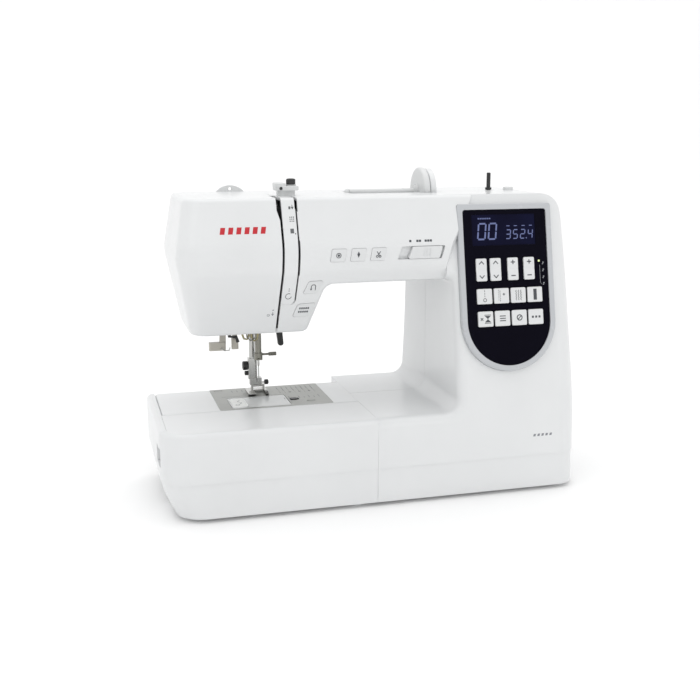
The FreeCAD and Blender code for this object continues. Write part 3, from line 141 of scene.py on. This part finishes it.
def metal(name, colour, rough, stretch=(1, 1, 1), scale=800.0, depth=0.05):
    """Metal with a direction of brushing or turning given by stretch."""
    m = Material(name)
    lines = m.noise(scale, 5.0, 0.65, m.stretch(stretch))
    cloud = m.noise(30.0, 3.0)
    mix = m.node("ShaderNodeMix")
    mix.data_type = "RGBA"
    mix.inputs["Factor"].default_value = 0.35
    m.link(m.ramp(lines, [(0.3, shade(colour, 0.82)), (0.7, shade(colour, 1.08))]),
           mix.inputs["A"])
    m.link(m.ramp(cloud, [(0.3, shade(colour, 0.92)), (0.7, colour)]), mix.inputs["B"])
    m.put("Base Color", mix.outputs["Result"])
    m.put("Metallic", 1.0)
    m.put("Roughness", m.span(lines, rough - 0.07, rough + 0.09))
    m.relief(lines, depth, 0.0001)
    return m.material


def ink(name, colour, rough=0.5, glow=0.0):
    """Printed mark or lit segment, a little uneven like screen printing."""
    m = Material(name)
    tone = m.ramp(m.noise(500.0, 3.0), [(0.3, shade(colour, 0.9)), (0.7, shade(colour, 1.05))])
    m.put("Base Color", tone)
    m.put("Roughness", m.span(m.noise(900.0), rough - 0.05, rough + 0.05))
    if glow:
        m.link(tone, m.shader.inputs["Emission Color"])
        m.put("Emission Strength", glow)
    return m.material


def display_glass(name):
    """Dark blue backlit display behind a clear pane, a little uneven."""
    m = Material(name)
    tone = m.ramp(m.noise(40.0, 2.0), [(0.25, (0.003, 0.003, 0.010)),
                                       (0.75, (0.004, 0.0045, 0.017))])
    m.put("Base Color", tone)
    m.link(tone, m.shader.inputs["Emission Color"])
    m.put("Emission Strength", 0.6)
    m.put("Roughness", m.span(m.noise(300.0), 0.2, 0.28))
    m.put("Specular IOR Level", 0.03)
    return m.material


def clear_plastic(name):
    """Smoky clear cover with faint scratches."""
    m = Material(name)
    m.put("Base Color", m.ramp(m.noise(25.0), [(0.3, (0.84, 0.86, 0.86)),
                                               (0.7, (0.93, 0.94, 0.94))]))
    scratches = m.noise(700.0, 4.0, 0.7, m.stretch((1, 0.05, 1)))
    m.put("Roughness", m.span(scratches, 0.08, 0.22))
    m.put("Transmission Weight", 0.35)
    m.put("IOR", PLASTIC_IOR)
    m.relief(scratches, 0.02, 0.0001)
    return m.material


BODY = plastic("moulded_white", (0.715, 0.725, 0.73), 0.30, coat=0.25)
TABLE = plastic("moulded_white_table", (0.72, 0.73, 0.735), 0.33, coat=0.2)
# The bezel rim is the white moulding made mid grey: painted shade standing in for the shade on its
# raised side wall.
SHADED_RIM = plastic("moulded_white_rim_painted_shade", (0.47, 0.485, 0.505), 0.26, coat=0.3)
BLACK_GLOSS = plastic("black_gloss", (0.004, 0.0036, 0.0078), 0.32, 300.0, 0.01, 0.1,
                      gloss=0.02)
KEY = plastic("key_plastic", (0.69, 0.70, 0.705), 0.42, 1300.0, 0.05)
ARM_KEY = plastic("arm_key_plastic", (0.68, 0.69, 0.695), 0.40, 1300.0, 0.05)
WARM_GREY = plastic("warm_grey_plastic", (0.50, 0.475, 0.42), 0.40, 1100.0, 0.06)
DARK = plastic("black_plastic", (0.018, 0.018, 0.019), 0.38, 1000.0, 0.06)
GUIDE = plastic("guide_plastic", (0.67, 0.68, 0.68), 0.36, 1100.0, 0.04)
PLATE = metal("brushed_plate", (0.385, 0.39, 0.375), 0.40, (0.06, 1, 1), 1500.0, 0.06)
BRASS = metal("lacquered_brass", (0.36, 0.32, 0.18), 0.3, (1, 1, 0.2), 700.0, 0.03)
BRIGHT = metal("plated_steel", (0.50, 0.50, 0.485), 0.17, (1, 1, 0.1), 700.0, 0.03)
# A darker copy of the plated steel: its dark base colour is painted dark reflection, while the
# turning lines are real grain.
DARKENED_TURNED_STEEL = metal("turned_steel_painted_dark", (0.24, 0.235, 0.205), 0.26, (1, 0.2, 0.2), 1200.0, 0.05)
CAST = metal("cast_alloy", (0.42, 0.43, 0.44), 0.5, (1, 1, 1), 260.0, 0.25)
PAINT = plastic("motor_paint", (0.05, 0.05, 0.055), 0.4, 400.0, 0.06)
RUBBER = plastic("rubber", (0.02, 0.02, 0.02), 0.75, 700.0, 0.1)
CLEAR = clear_plastic("clear_cover")
DISPLAY = display_glass("display_glass")
INK_GREY = ink("print_grey", (0.055, 0.06, 0.07))
INK_PALE = ink("print_pale", (0.24, 0.25, 0.27))
INK_SOFT = ink("print_soft", (0.12, 0.125, 0.13))
INK_RED = ink("print_red", (0.52, 0.012, 0.022))
INK_WHITE = ink("print_white", (0.30, 0.31, 0.33))
LABEL = ink("paper_label", (0.90, 0.91, 0.89))
LIT_BLUE = ink("display_segment", (0.085, 0.105, 0.225), 0.4, 0.5)
LIT_GREEN = ink("indicator_lamp", (0.55, 0.62, 0.30), 0.25, 0.7)
SLOT_FINISH = {
    "body_white": BODY, "table_white": TABLE, "bezel_white": SHADED_RIM, "panel_black": BLACK_GLOSS,
    "display": DISPLAY, "key_white": KEY, "arm_key_white": ARM_KEY,
    "warm_grey_plastic": WARM_GREY, "black_plastic": DARK, "clear_cover": CLEAR,
    "plate_steel": PLATE, "bright_steel": BRIGHT,
    "shaft_steel": DARKENED_TURNED_STEEL, "cast_frame": CAST, "motor_metal": PAINT, "rubber": RUBBER,
    "guide_white": GUIDE,
}

for entry in frame["record"]["subparts"]:
    node = NODES[entry["node"]]
    node.data.materials.clear()
    node.data.materials.append(SLOT_FINISH[entry["material_slot"]])


# ---------------------------------------------------------------- surfaces for marks

# The control panel leans back from its foot to its head, each given as (y, z) stations.
PANEL_FOOT = (4.0, 126.0)
PANEL_HEAD = (33.0, 269.5)
PANEL_UP = math.hypot(PANEL_HEAD[0] - PANEL_FOOT[0], PANEL_HEAD[1] - PANEL_FOOT[1])
RISE = (PANEL_HEAD[1] - PANEL_FOOT[1]) / PANEL_UP
LEAN = (PANEL_HEAD[0] - PANEL_FOOT[0]) / PANEL_UP
OUT_OF_PANEL = Vector((0, -RISE, LEAN))
PANEL_X = 328.5
LOOK_FROM_FRONT, FRONT_SPARE = -60, 20
LOOK_FROM_BEHIND, BACK_SPARE = 260, 160


def panel_surface(depth):
    """Maps (right of the panel's middle, up its slope) to a point and its normal."""
    def place(a, b):
        point = station(PANEL_X + a, PANEL_FOOT[0] + b * LEAN, PANEL_FOOT[1] + b * RISE)
        return point + OUT_OF_PANEL * (depth * MM), OUT_OF_PANEL
    return place


class Skin:
    """Front or back surface of CAD nodes, found by looking along the depth of the object."""

    def __init__(self, names):
        bm = bmesh.new()
        for name in names:
            bm.from_mesh(NODES[name].data)
        self.tree = BVHTree.FromBMesh(bm)
        bm.free()

    def seen(self, x, start_y, z, way, spare_y):
        """The point met on the way along y, or one at spare_y if the look meets nothing."""
        look = Vector((0, way, 0))
        hit, normal, _, _ = self.tree.ray_cast(station(x, start_y, z), look)
        return (hit, normal) if hit else (station(x, spare_y, z), -look)

    def front(self, x, z):
        return self.seen(x, LOOK_FROM_FRONT, z, 1, FRONT_SPARE)

    def back(self, x, z):
        return self.seen(x, LOOK_FROM_BEHIND, z, -1, BACK_SPARE)


# ---------------------------------------------------------------- flat shapes

# A shape is a list of outlines, each a list of (a, b) points in millimetres.
STROKE_PIECE = 2.0
DOT_SIDES = 8


def polygon(points):
    return [list(points)]


def bar(a0, b0, a1, b1):
    """Upright rectangle between two opposite corners."""
    return [[(a0, b0), (a1, b0), (a1, b1), (a0, b1)]]


def line(a0, b0, a1, b1, width):
    """Stroke between two points, cut into short pieces so that it can bend."""
    length = math.hypot(a1 - a0, b1 - b0)
    na, nb = -(b1 - b0) / length * width / 2, (a1 - a0) / length * width / 2
    count = max(1, int(length / STROKE_PIECE))
    quads = []
    for i in range(count):
        s, e = i / count, (i + 1) / count
        pa, pb = a0 + (a1 - a0) * s, b0 + (b1 - b0) * s
        qa, qb = a0 + (a1 - a0) * e, b0 + (b1 - b0) * e
        quads.append([(pa - na, pb - nb), (qa - na, qb - nb), (qa + na, qb + nb),
                      (pa + na, pb + nb)])
    return quads


def path(points, width):
    """Strokes through points, with a round joint at each bend."""
    quads = []
    for (a0, b0), (a1, b1) in zip(points, points[1:]):
        quads += line(a0, b0, a1, b1, width)
    for a, b in points[1:-1]:
        quads += disc(a, b, width / 2, DOT_SIDES)
    return quads


def arc_points(a, b, r, start, end, count):
    """Points on an arc round (a, b), from one angle to another in degrees."""
    return [(a + r * math.cos(math.radians(start + (end - start) * i / count)),
             b + r * math.sin(math.radians(start + (end - start) * i / count)))
            for i in range(count + 1)]


def disc(a, b, r, count=20):
    return polygon(arc_points(a, b, r, 0, 360 - 360 / count, count - 1))


def ring(a, b, r, width):
    return path(arc_points(a, b, r, 0, 360, 24), width)


def moved(shapes, da, db, scale=1.0):
    """Shapes scaled about their origin, then shifted."""
    return [[(p[0] * scale + da, p[1] * scale + db) for p in shape] for shape in shapes]


def finish(name, bm, body, material):
    """Make a mesh into a piece that moves with a body."""
    bmesh.ops.recalc_face_normals(bm, faces=bm.faces)
    mesh = bpy.data.meshes.new(name)
    bm.to_mesh(mesh)
    bm.free()
    mesh.materials.append(material)
    piece = bpy.data.objects.new(name, mesh)
    scene.collection.objects.link(piece)
    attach(piece, body)
    return piece


def mark(name, shapes, place, body, material, slot, lift=0.05, thick=0.07):
    """Thin raised print: each flat shape is laid on a surface and given a thickness."""
    bm = bmesh.new()
    for shape in shapes:
        lower, upper = [], []
        for a, b in shape:
            point, normal = place(a, b)
            lower.append(bm.verts.new(point + normal * ((lift - thick) * MM)))
            upper.append(bm.verts.new(point + normal * (lift * MM)))
        count = len(shape)
        bm.faces.new(upper)
        bm.faces.new(list(reversed(lower)))
        for i in range(count):
            j = (i + 1) % count
            bm.faces.new((lower[i], lower[j], upper[j], upper[i]))
    return finish(name, bm, body, material)


# ---------------------------------------------------------------- icons

# Each sign is drawn round its own middle, on the face of its key.

def chevron(up):
    s = 1 if up else -1
    return path([(-2.4, -1.2 * s), (0, 1.4 * s), (2.4, -1.2 * s)], 0.9)


def plus():
    return minus() + line(0, -2.0, 0, 2.0, 1.0)


def minus():
    return line(-2.2, 0, 2.2, 0, 1.0)


def stitch_straight():
    """Three dashes over a ring."""
    dashes = []
    for b in (-0.6, 1.8, 4.2):
        dashes += line(0, b, 0, b + 1.5, 0.55)
    return dashes + ring(0, -3.4, 1.5, 0.55)


def stitch_stretch():
    """Two columns of dots beside a small cross."""
    dots = []
    for i in range(6):
        dots += disc(-1.6, -4.6 + 1.8 * i, 0.5, DOT_SIDES)
        dots += disc(-3.0, -3.7 + 1.8 * i, 0.4, DOT_SIDES)
    return dots + line(1.0, 1.4, 3.4, 1.4, 0.7) + line(2.2, 0.2, 2.2, 2.6, 0.7)


def stitch_overcast():
    """Three wavy lines."""
    waves = []
    for a in (-2.4, 0, 2.4):
        waves += path([(a + 0.5 * (-1) ** i, -4.8 + 1.2 * i) for i in range(9)], 0.5)
    return waves


def buttonhole():
    """A dense upright bar of stitches."""
    return bar(-1.7, -5.2, 1.7, 5.2)


def pattern_stop():
    """A small cross beside an hourglass."""
    cross = line(-5.2, -1.2, -2.8, 1.2, 0.8) + line(-5.2, 1.2, -2.8, -1.2, 0.8)
    hourglass = (polygon([(-1.2, 3.0), (5.0, 3.0), (1.9, 0)])
                 + polygon([(-1.2, -3.0), (1.9, 0), (5.0, -3.0)]))
    return (cross + hourglass + line(-1.4, 3.8, 5.2, 3.8, 0.6)
            + line(-1.4, -3.8, 5.2, -3.8, 0.6))


def stack_sign():
    return (line(-3.0, -2.2, 3.0, -2.2, 0.9) + line(-3.0, 0, 3.0, 0, 0.9)
            + line(-3.0, 2.2, 3.0, 2.2, 0.9))


def erase_sign():
    return ring(0, 0, 2.5, 0.9) + line(-1.7, -1.7, 1.7, 1.7, 0.8)


def more_sign():
    return bar(-4.4, -1.0, -2.4, 1.0) + bar(-1.0, -1.0, 1.0, 1.0) + bar(2.4, -1.0, 4.4, 1.0)


def lock_sign():
    return ring(0, 0, 2.1, 0.6) + disc(0, 0, 1.1)


def needle_sign():
    return (polygon([(-1.3, 0.4), (0, -2.6), (1.3, 0.4), (0.9, 1.6), (-0.9, 1.6)])
            + bar(-0.45, 1.6, 0.45, 2.8))


def cutter_sign():
    return (line(-1.7, 2.6, 0.9, -1.2, 0.7) + line(1.7, 2.6, -0.9, -1.2, 0.7)
            + ring(-1.3, -1.9, 0.9, 0.6) + ring(1.3, -1.9, 0.9, 0.6))


def reverse_sign():
    arc = arc_points(0, 0.6, 2.0, 0, 180, 12)
    return (path([(2.0, -3.0)] + arc + [(-2.0, -1.6)], 0.6)
            + polygon([(-3.1, -1.4), (-2.0, -3.2), (-0.9, -1.4)]))


def start_sign():
    """A row of short bars over another, for the start key."""
    shapes = []
    for row, shift in ((1.0, 0.0), (-2.6, -0.6)):
        for i in range(5):
            a = -4.6 + 1.95 * i + shift
            shapes += bar(a, row, a + 1.35, row + 1.8)
    return shapes


def arrow_down():
    return (polygon([(-1.6, 0.8), (1.6, 0.8), (0, -1.6)])
            + line(0, 2.8, 0, 0.6, 0.7))


# ---------------------------------------------------------------- panel marks

# Places on the panel are (right of its middle, up its slope from the foot).
KEY_FACE = 1.4
FLAT_PRINT = 0.03
SHELL_PRINT = 0.04
ROCKERS = [(-31.3, -20.0), (-17.3, -5.7), (0.4, 11.7), (16.8, 28.3)]
ROCKER_SPAN = (79.5, 101.4)
ROCKER_SIGN_INSET = 4.6
CHEVRON_KEYS = 2
KEY_LEFT = [-31.8, -14.8, 2.3, 19.3]
KEY_WIDTH = 15.8
KEY_ROWS = {"upper": (58.1, 73.1), "lower": (36.9, 52.0)}
key_top = panel_surface(KEY_FACE)
face_top = panel_surface(0.0)

for i, (a0, a1) in enumerate(ROCKERS):
    middle = (a0 + a1) / 2
    signs = (chevron(True), chevron(False)) if i < CHEVRON_KEYS else (plus(), minus())
    upper = moved(signs[0], middle, ROCKER_SPAN[1] - ROCKER_SIGN_INSET)
    lower = moved(signs[1], middle, ROCKER_SPAN[0] + ROCKER_SIGN_INSET)
    name = "rocker_key_%d" % (i + 1)
    mark(name + "_print", upper + lower, key_top, name, INK_GREY, "black_plastic", FLAT_PRINT)

ROW_ICONS = {"upper": [stitch_straight, stitch_stretch, stitch_overcast, buttonhole],
             "lower": [pattern_stop, stack_sign, erase_sign, more_sign]}
for row, (b0, b1) in KEY_ROWS.items():
    for i, a0 in enumerate(KEY_LEFT):
        name = "%s_key_%d" % (row, i + 1)
        shapes = moved(ROW_ICONS[row][i](), a0 + KEY_WIDTH / 2, (b0 + b1) / 2)
        mark(name + "_print", shapes, key_top, name, INK_GREY, "black_plastic", FLAT_PRINT)

# The lit segments of each figure, named a to g clockwise from the top, with g across.
SEGMENTS = {"0": "abcdef", "2": "abged", "3": "abgcd", "4": "fgbc", "5": "afgcd"}
FIGURE_LEAN = 0.12
SEGMENT_GAP = 0.35


def digit(figure, a, b, width, height, weight):
    """Seven-segment figure leaning to the right, its left foot at (a, b)."""
    g = weight * SEGMENT_GAP
    half = height / 2
    runs = {"a": ((g, height), (width - g, height)), "b": ((width, height - g), (width, half + g)),
            "c": ((width, half - g), (width, g)), "d": ((g, 0), (width - g, 0)),
            "e": ((0, half - g), (0, g)), "f": ((0, height - g), (0, half + g)),
            "g": ((g, half), (width - g, half))}
    shapes = []
    for name in SEGMENTS[figure]:
        (p, q), (r, s) = runs[name]
        shapes += line(a + p + q * FIGURE_LEAN, b + q, a + r + s * FIGURE_LEAN, b + s, weight)
    return shapes


FIGURE_FOOT = 119
LARGE_FIGURE = (7.2, 14.5, 1.5)
SMALL_FIGURE = (4.2, 8.2, 0.95)
DISPLAY_DEPTH = -0.4
glass = panel_surface(DISPLAY_DEPTH)
lit = []
for a in (-27.5, -16.8):
    lit += digit("0", a, FIGURE_FOOT, *LARGE_FIGURE)
for a, figure in ((1.0, "3"), (8.2, "5"), (15.6, "2"), (23.4, "4")):
    lit += digit(figure, a, FIGURE_FOOT, *SMALL_FIGURE)
lit += disc(21.8, 119.2, 0.6, 10)
for i in range(7):          # a row of short bars over the large figures
    lit += bar(-26.5 + 1.9 * i, 137.6, -25.3 + 1.9 * i, 138.9)
for a in (2.0, 9.5, 17.5, 25.0):          # a dash over each small figure
    lit += bar(a, 130.6, a + 3.2, 131.3)
mark("display_figures", lit, glass, "base", LIT_BLUE, "display")

mark("indicator_lamp", disc(33.2, 97.2, 1.0), face_top, "base", LIT_GREEN, "display", 0.35, 0.6)
legend = []
for b in (74.4, 80.6, 87.2, 93.8):          # four plain signs beside the lamp's line
    legend += bar(36.4, b, 37.6, b + 0.8) + bar(36.9, b + 1.3, 38.2, b + 2.3)
legend += path([(34.0, 93.4), (34.0, 76.4), (35.4, 75.2)], 0.3)
mark("panel_legend", legend, face_top, "base", INK_WHITE, "warm_grey_plastic", 0.02)

# ---------------------------------------------------------------- arm marks

ARM_KEY_PRINT = (0.12, 0.14)
arm = Skin(["front_casing", "face_cover"])
controls = {
    "lock_key": (lock_sign(), 165.5, 232.7), "needle_key": (needle_sign(), 184.0, 232.7),
    "cutter_key": (cutter_sign(), 202.8, 232.7), "reverse_key": (reverse_sign(), 144.8, 203.2),
    "start_key": (start_sign(), 138.8, 180.3),
}
for name, (shapes, x, z) in controls.items():
    skin = Skin([name])
    mark(name + "_print", moved(shapes, x, z), skin.front, name, INK_GREY, "black_plastic",
         *ARM_KEY_PRINT)

SPEED_PITCH = 2.5
speed = []
for x, count in ((232.0, 1), (238.8, 2), (246.8, 3)):
    for i in range(count):
        speed += bar(x + SPEED_PITCH * i, 242.6, x + SPEED_PITCH * i + 2.1, 244.6)
mark("speed_scale", speed, arm.front, "base", INK_GREY, "black_plastic", SHELL_PRINT)

# Signs down the strip between the thread slots: arrow, dots, block, and a hook at its foot.
STRIP_X = 122.8
path_marks = moved(arrow_down(), 126.2, 275.0, 0.9) + bar(STRIP_X, 273.8, 124.6, 276.2)
for i in range(3):
    for j in range(3):
        path_marks += disc(123.4 + 1.6 * i, 263.6 + 1.7 * j, 0.55, DOT_SIDES)
path_marks += bar(STRIP_X, 253.2, 126.0, 257.2) + disc(127.2, 252.8, 0.6, DOT_SIDES)
path_marks += path(arc_points(STRIP_X, 195.0, 2.7, 60, 350, 18), 0.6)
path_marks += disc(STRIP_X, 200.4, 0.55, DOT_SIDES) + disc(STRIP_X, 202.4, 0.5, DOT_SIDES)
mark("thread_path_marks", path_marks, arm.front, "base", INK_SOFT, "warm_grey_plastic", 0.06)
mark("face_thread_mark", moved(arrow_down(), 110.0, 177.0, 0.9) + ring(106.0, 176.4, 1.1, 0.4)
     + disc(110.0, 181.4, 0.7, DOT_SIDES), arm.front, "base", INK_PALE, "warm_grey_plastic",
     SHELL_PRINT)


def slanted_dashes(count, x, pitch, low, high, width, lean):
    """A row of equal dashes that lean to the right, the first one's foot at x."""
    dashes = []
    for i in range(count):
        left = x + pitch * i
        dashes += polygon([(left, low), (left + width, low), (left + width + lean, high),
                           (left + lean, high)])
    return dashes


mark("head_motif", slanted_dashes(6, 60.0, 7.2, 253.6, 259.4, 4.2, 1.2), arm.front, "base",
     INK_RED, None)
mark("base_motif", slanted_dashes(5, 352.0, 4.2, 55.2, 57.6, 2.4, 0.6),
     Skin(["front_casing"]).front, "base", INK_PALE, "warm_grey_plastic", SHELL_PRINT)

# ---------------------------------------------------------------- marks on the plate

def deck(z):
    """Maps (x, y) stations to a level surface at height z."""
    def place(a, b):
        return station(a, b, z), Vector((0, 0, 1))
    return place


PLATE_TOP = 83.5
COVER_TOP = PLATE_TOP - 0.1
COVER_LABEL_TOP = PLATE_TOP - 0.05
SCALE_ZERO_X = 125.0
SCALE_PITCH = 5.0
SCALE_END_Y = 141.0
scale_marks = []
for i in range(1, 9):          # every other line of the seam scale is short
    x = SCALE_ZERO_X + SCALE_PITCH * i
    scale_marks += line(x, 134.0 if i % 2 else 128.0, x, SCALE_END_Y, 0.45)
    scale_marks += line(x, 96.0, x, 100.5 if i % 2 else 104.5, 0.45)
for x in (139.0, 149.0, 159.0):
    scale_marks += bar(x, 120.5, x + 1.0, 122.6) + bar(x + 1.5, 120.5, x + 2.5, 122.6)
for x in (84.0, 89.0, 94.0):
    scale_marks += line(x, 134.0, x, SCALE_END_Y, 0.45)
scale_marks += line(70.5, 118.0, 98.0, 118.0, 0.4) + ring(95.0, 125.0, 1.8, 0.4)
mark("plate_scale", scale_marks, deck(PLATE_TOP), "base", INK_GREY, "black_plastic", FLAT_PRINT)
patch = []
for a, b, start in ((79.5, 82.0, 180), (88.0, 82.0, 270), (88.0, 106.0, 0), (79.5, 106.0, 90)):
    patch += arc_points(a, b, 3.0, start, start + 90, 6)
mark("cover_label", polygon(patch), deck(COVER_TOP), "hook_cover", LABEL, "clear_cover",
     FLAT_PRINT)
thread_path = ring(81.5, 86.5, 1.8, 0.45)
thread_path += path([(83.5, 88.0), (86.5, 93.0), (83.0, 98.0), (86.0, 103.0)], 0.45)
mark("cover_path", thread_path, deck(COVER_LABEL_TOP), "hook_cover", INK_GREY, "black_plastic",
     FLAT_PRINT)


# ---------------------------------------------------------------- small fittings

def close_tube(bm, rows):
    """Faces between neighbouring rings of vertices, and a cap on each end."""
    sides = len(rows[0])
    for low, high in zip(rows, rows[1:]):
        for i in range(sides):
            j = (i + 1) % sides
            bm.faces.new((low[i], low[j], high[j], high[i]))
    bm.faces.new(list(reversed(rows[0])))
    bm.faces.new(rows[-1])


TURNED_SIDES = 28


def turned(name, start, axis, profile, body, material):
    """Solid of revolution: profile lists (distance along the axis, radius) in millimetres."""
    axis = Vector(axis)
    across = axis.orthogonal().normalized()
    beside = axis.cross(across)
    bm = bmesh.new()
    rows = []
    for along, radius in profile:
        row = []
        for i in range(TURNED_SIDES):
            turn = 2 * math.pi * i / TURNED_SIDES
            out = across * math.cos(turn) + beside * math.sin(turn)
            row.append(bm.verts.new(station(*start) + (axis * along + out * radius) * MM))
        rows.append(row)
    close_tube(bm, rows)
    return finish(name, bm, body, material)


def wire(name, points, radius, body, material, sides=10):
    """Bent wire of one thickness through station points."""
    spots = [station(*point) for point in points]
    bm = bmesh.new()
    rows = []
    for i, spot in enumerate(spots):
        run = (spots[min(i + 1, len(spots) - 1)] - spots[max(i - 1, 0)]).normalized()
        across = run.cross(Vector((0, 1, 0))).normalized()
        beside = run.cross(across)
        rows.append([bm.verts.new(spot + (across * math.cos(2 * math.pi * k / sides)
                                          + beside * math.sin(2 * math.pi * k / sides))
                                  * radius * MM) for k in range(sides)])
    close_tube(bm, rows)
    return finish(name, bm, body, material)


RIGHT, BACK, UP = (1, 0, 0), (0, 1, 0), (0, 0, 1)
PRESSER_Y = 139.0
RELEASE_Y, RELEASE_Z = 136.2, 91.9
INSIDE_HEAD_Z = 158.0
turned("foot_screw_grip", (95.6, PRESSER_Y, 109.4), RIGHT,
       [(0, 3.8), (0.6, 4.6), (4.6, 4.6), (5.1, 4.2)], "presser", DARK)
turned("holder_screw", (97.6, PRESSER_Y, 101.6), RIGHT,
       [(0, 1.8), (0.4, 2.3), (3.2, 2.3), (3.8, 1.6)], "presser", DARK)
turned("foot_release_rod", (114.5, RELEASE_Y, RELEASE_Z), RIGHT,
       [(0, 0.7), (3.0, 0.7)], "presser", BRIGHT)
turned("foot_release_button", (117.0, RELEASE_Y, RELEASE_Z), RIGHT,
       [(0, 1.9), (0.5, 2.6), (3.6, 2.6), (4.2, 1.7)], "presser", DARK)
turned("guide_screw_cap", (132.8, 70.0, 293.7), UP,
       [(0, 4.35), (4.2, 4.35), (5.0, 3.7), (5.3, 2.2)], "base", DARK)
turned("guide_eyelet", (121.6, 59.4, 290.5), BACK,
       [(0, 1.3), (0.3, 1.5), (1.4, 1.1)], "base", DARK)
wire("brass_guide_left",
     [(92.0, 114.5, INSIDE_HEAD_Z), (92.2, 114.2, 146.0), (93.6, 114.0, 142.4),
      (96.6, 114.0, 141.6), (98.4, 114.2, 145.0), (98.6, 114.5, INSIDE_HEAD_Z)],
     1.0, "base", BRASS)
wire("brass_guide_right",
     [(100.6, 113.9, INSIDE_HEAD_Z), (101.0, 113.6, 143.4), (103.6, 113.6, 139.8),
      (106.6, 113.6, 141.6), (107.4, 113.8, 147.0)],
     0.9, "base", BRASS)
wire("steel_guide",
     [(95.0, 112.6, INSIDE_HEAD_Z), (96.4, 112.4, 144.0), (99.8, 112.2, 140.4),
      (104.2, 112.4, 143.0)], 0.7, "base", DARKENED_TURNED_STEEL)
wire("lever_bracket",
     [(79.0, 114.4, INSIDE_HEAD_Z), (79.4, 114.4, 145.2), (86.0, 114.4, 144.6),
      (87.6, 114.4, 139.4)], 1.7, "base", DARK, 12)
wire("threader_hook",
     [(72.0, 121.0, 133.0), (74.5, 118.2, 130.6), (79.5, 118.0, 130.9),
      (80.4, 118.6, 133.6)], 0.55, "threader", BRIGHT)


# ---------------------------------------------------------------- rear marks

VENT_SPAN = (318.1, 368)
VENT_FOOT = 60
VENT_PITCH = 5.0
SCREW_R = 3.4
SLOT_HALF = 1.9
rear = Skin(["rear_casing"])
# The vent slots are not cut: each is a dark strip laid on the rear casing, painted shade standing
# in for the shade inside the openings.
vent_shade_strips = []
for i in range(9):
    z = VENT_FOOT + VENT_PITCH * i
    vent_shade_strips += line(VENT_SPAN[0], z, VENT_SPAN[1], z, 1.7)
mark("rear_vent_shade", vent_shade_strips, rear.back, "base", DARK, "black_plastic", FLAT_PRINT)
screws, screw_slot_shade = [], []
for x, z in ((385.0, 268.0), (385.0, 60.0), (215.0, 60.0), (60.0, 268.0), (60.0, 175.0)):
    screws += disc(x, z, SCREW_R)
    screw_slot_shade += line(x - SLOT_HALF, z, x + SLOT_HALF, z, 0.7)
    screw_slot_shade += line(x, z - SLOT_HALF, x, z + SLOT_HALF, 0.7)
mark("rear_screws", screws, rear.back, "base", BRIGHT, "bright_steel", 0.3, 0.5)
# The cross recess of each screw is not cut: a dark print on the head is painted shade standing in
# for the shade in the recess.
mark("rear_screw_slot_shade", screw_slot_shade, rear.back, "base", INK_GREY, "black_plastic", 0.34, 0.1)

# ---------------------------------------------------------------- stage, light, camera

FLOOR_FRONT = -3.0
FLOOR_BACK = 1.2
BEND_R = 0.8
BEND_STEPS = 12
WALL_TOP = 3.2
FLOOR_HALF_WIDTH = 3.5


def stage_floor():
    """Pale floor that curves up into a backdrop."""
    profile = [(FLOOR_FRONT, 0.0), (FLOOR_BACK, 0.0)]
    for i in range(1, BEND_STEPS + 1):
        turn = math.radians(90 * i / BEND_STEPS)
        profile.append((FLOOR_BACK + BEND_R * math.sin(turn), BEND_R - BEND_R * math.cos(turn)))
    profile.append((FLOOR_BACK + BEND_R, WALL_TOP))
    bm = bmesh.new()
    rows = [[bm.verts.new((x, y, z)) for y, z in profile]
            for x in (-FLOOR_HALF_WIDTH, FLOOR_HALF_WIDTH)]
    for i in range(len(profile) - 1):
        bm.faces.new((rows[0][i], rows[1][i], rows[1][i + 1], rows[0][i + 1]))
    mesh = bpy.data.meshes.new("floor")
    bm.to_mesh(mesh)
    bm.free()
    for face in mesh.polygons:
        face.use_smooth = True
    floor = bpy.data.objects.new("floor", mesh)
    mesh.materials.append(plastic("paper", (0.97, 0.97, 0.97), 0.9, 200.0, 0.02, 0.003))
    scene.collection.objects.link(floor)


def softbox(name, place, target, size, power):
    """Rectangular lamp that faces a target; power in watts."""
    light = bpy.data.lights.new(name, "AREA")
    light.shape = "RECTANGLE"
    light.size, light.size_y = size
    light.energy = power
    lamp = bpy.data.objects.new(name, light)
    lamp.location = place
    lamp.rotation_euler = (Vector(target) - Vector(place)).to_track_quat("-Z", "Y").to_euler()
    scene.collection.objects.link(lamp)


stage_floor()
softbox("key_light", (-1.3, -1.5, 1.7), (0, 0, 0.12), (1.6, 1.2), 2)
softbox("fill_light", (1.2, -1.9, 0.9), (0.05, 0, 0.12), (1.6, 1.3), 2)
softbox("top_light", (0.0, 0.2, 2.0), (0, 0, 0.1), (2.0, 1.6), 9)

AMBIENT = 0.97
world = bpy.data.worlds.new("studio")
world.use_nodes = True
world.node_tree.nodes["Background"].inputs["Color"].default_value = (1, 1, 1, 1)
world.node_tree.nodes["Background"].inputs["Strength"].default_value = AMBIENT
scene.world = world
scene.view_settings.view_transform = "Standard"

FOCAL_LENGTH = 51.75
CAMERA_PLACE = (-0.27223, -0.93376, 0.34366)
CAMERA_TILT = 77.58
CAMERA_TURN = -15.5
lens = bpy.data.cameras.new("camera")
lens.sensor_width = 36.0
lens.lens = FOCAL_LENGTH
camera = bpy.data.objects.new("camera", lens)
camera.location = CAMERA_PLACE
camera.rotation_euler = (math.radians(CAMERA_TILT), 0, math.radians(CAMERA_TURN))
scene.collection.objects.link(camera)
scene.camera = camera
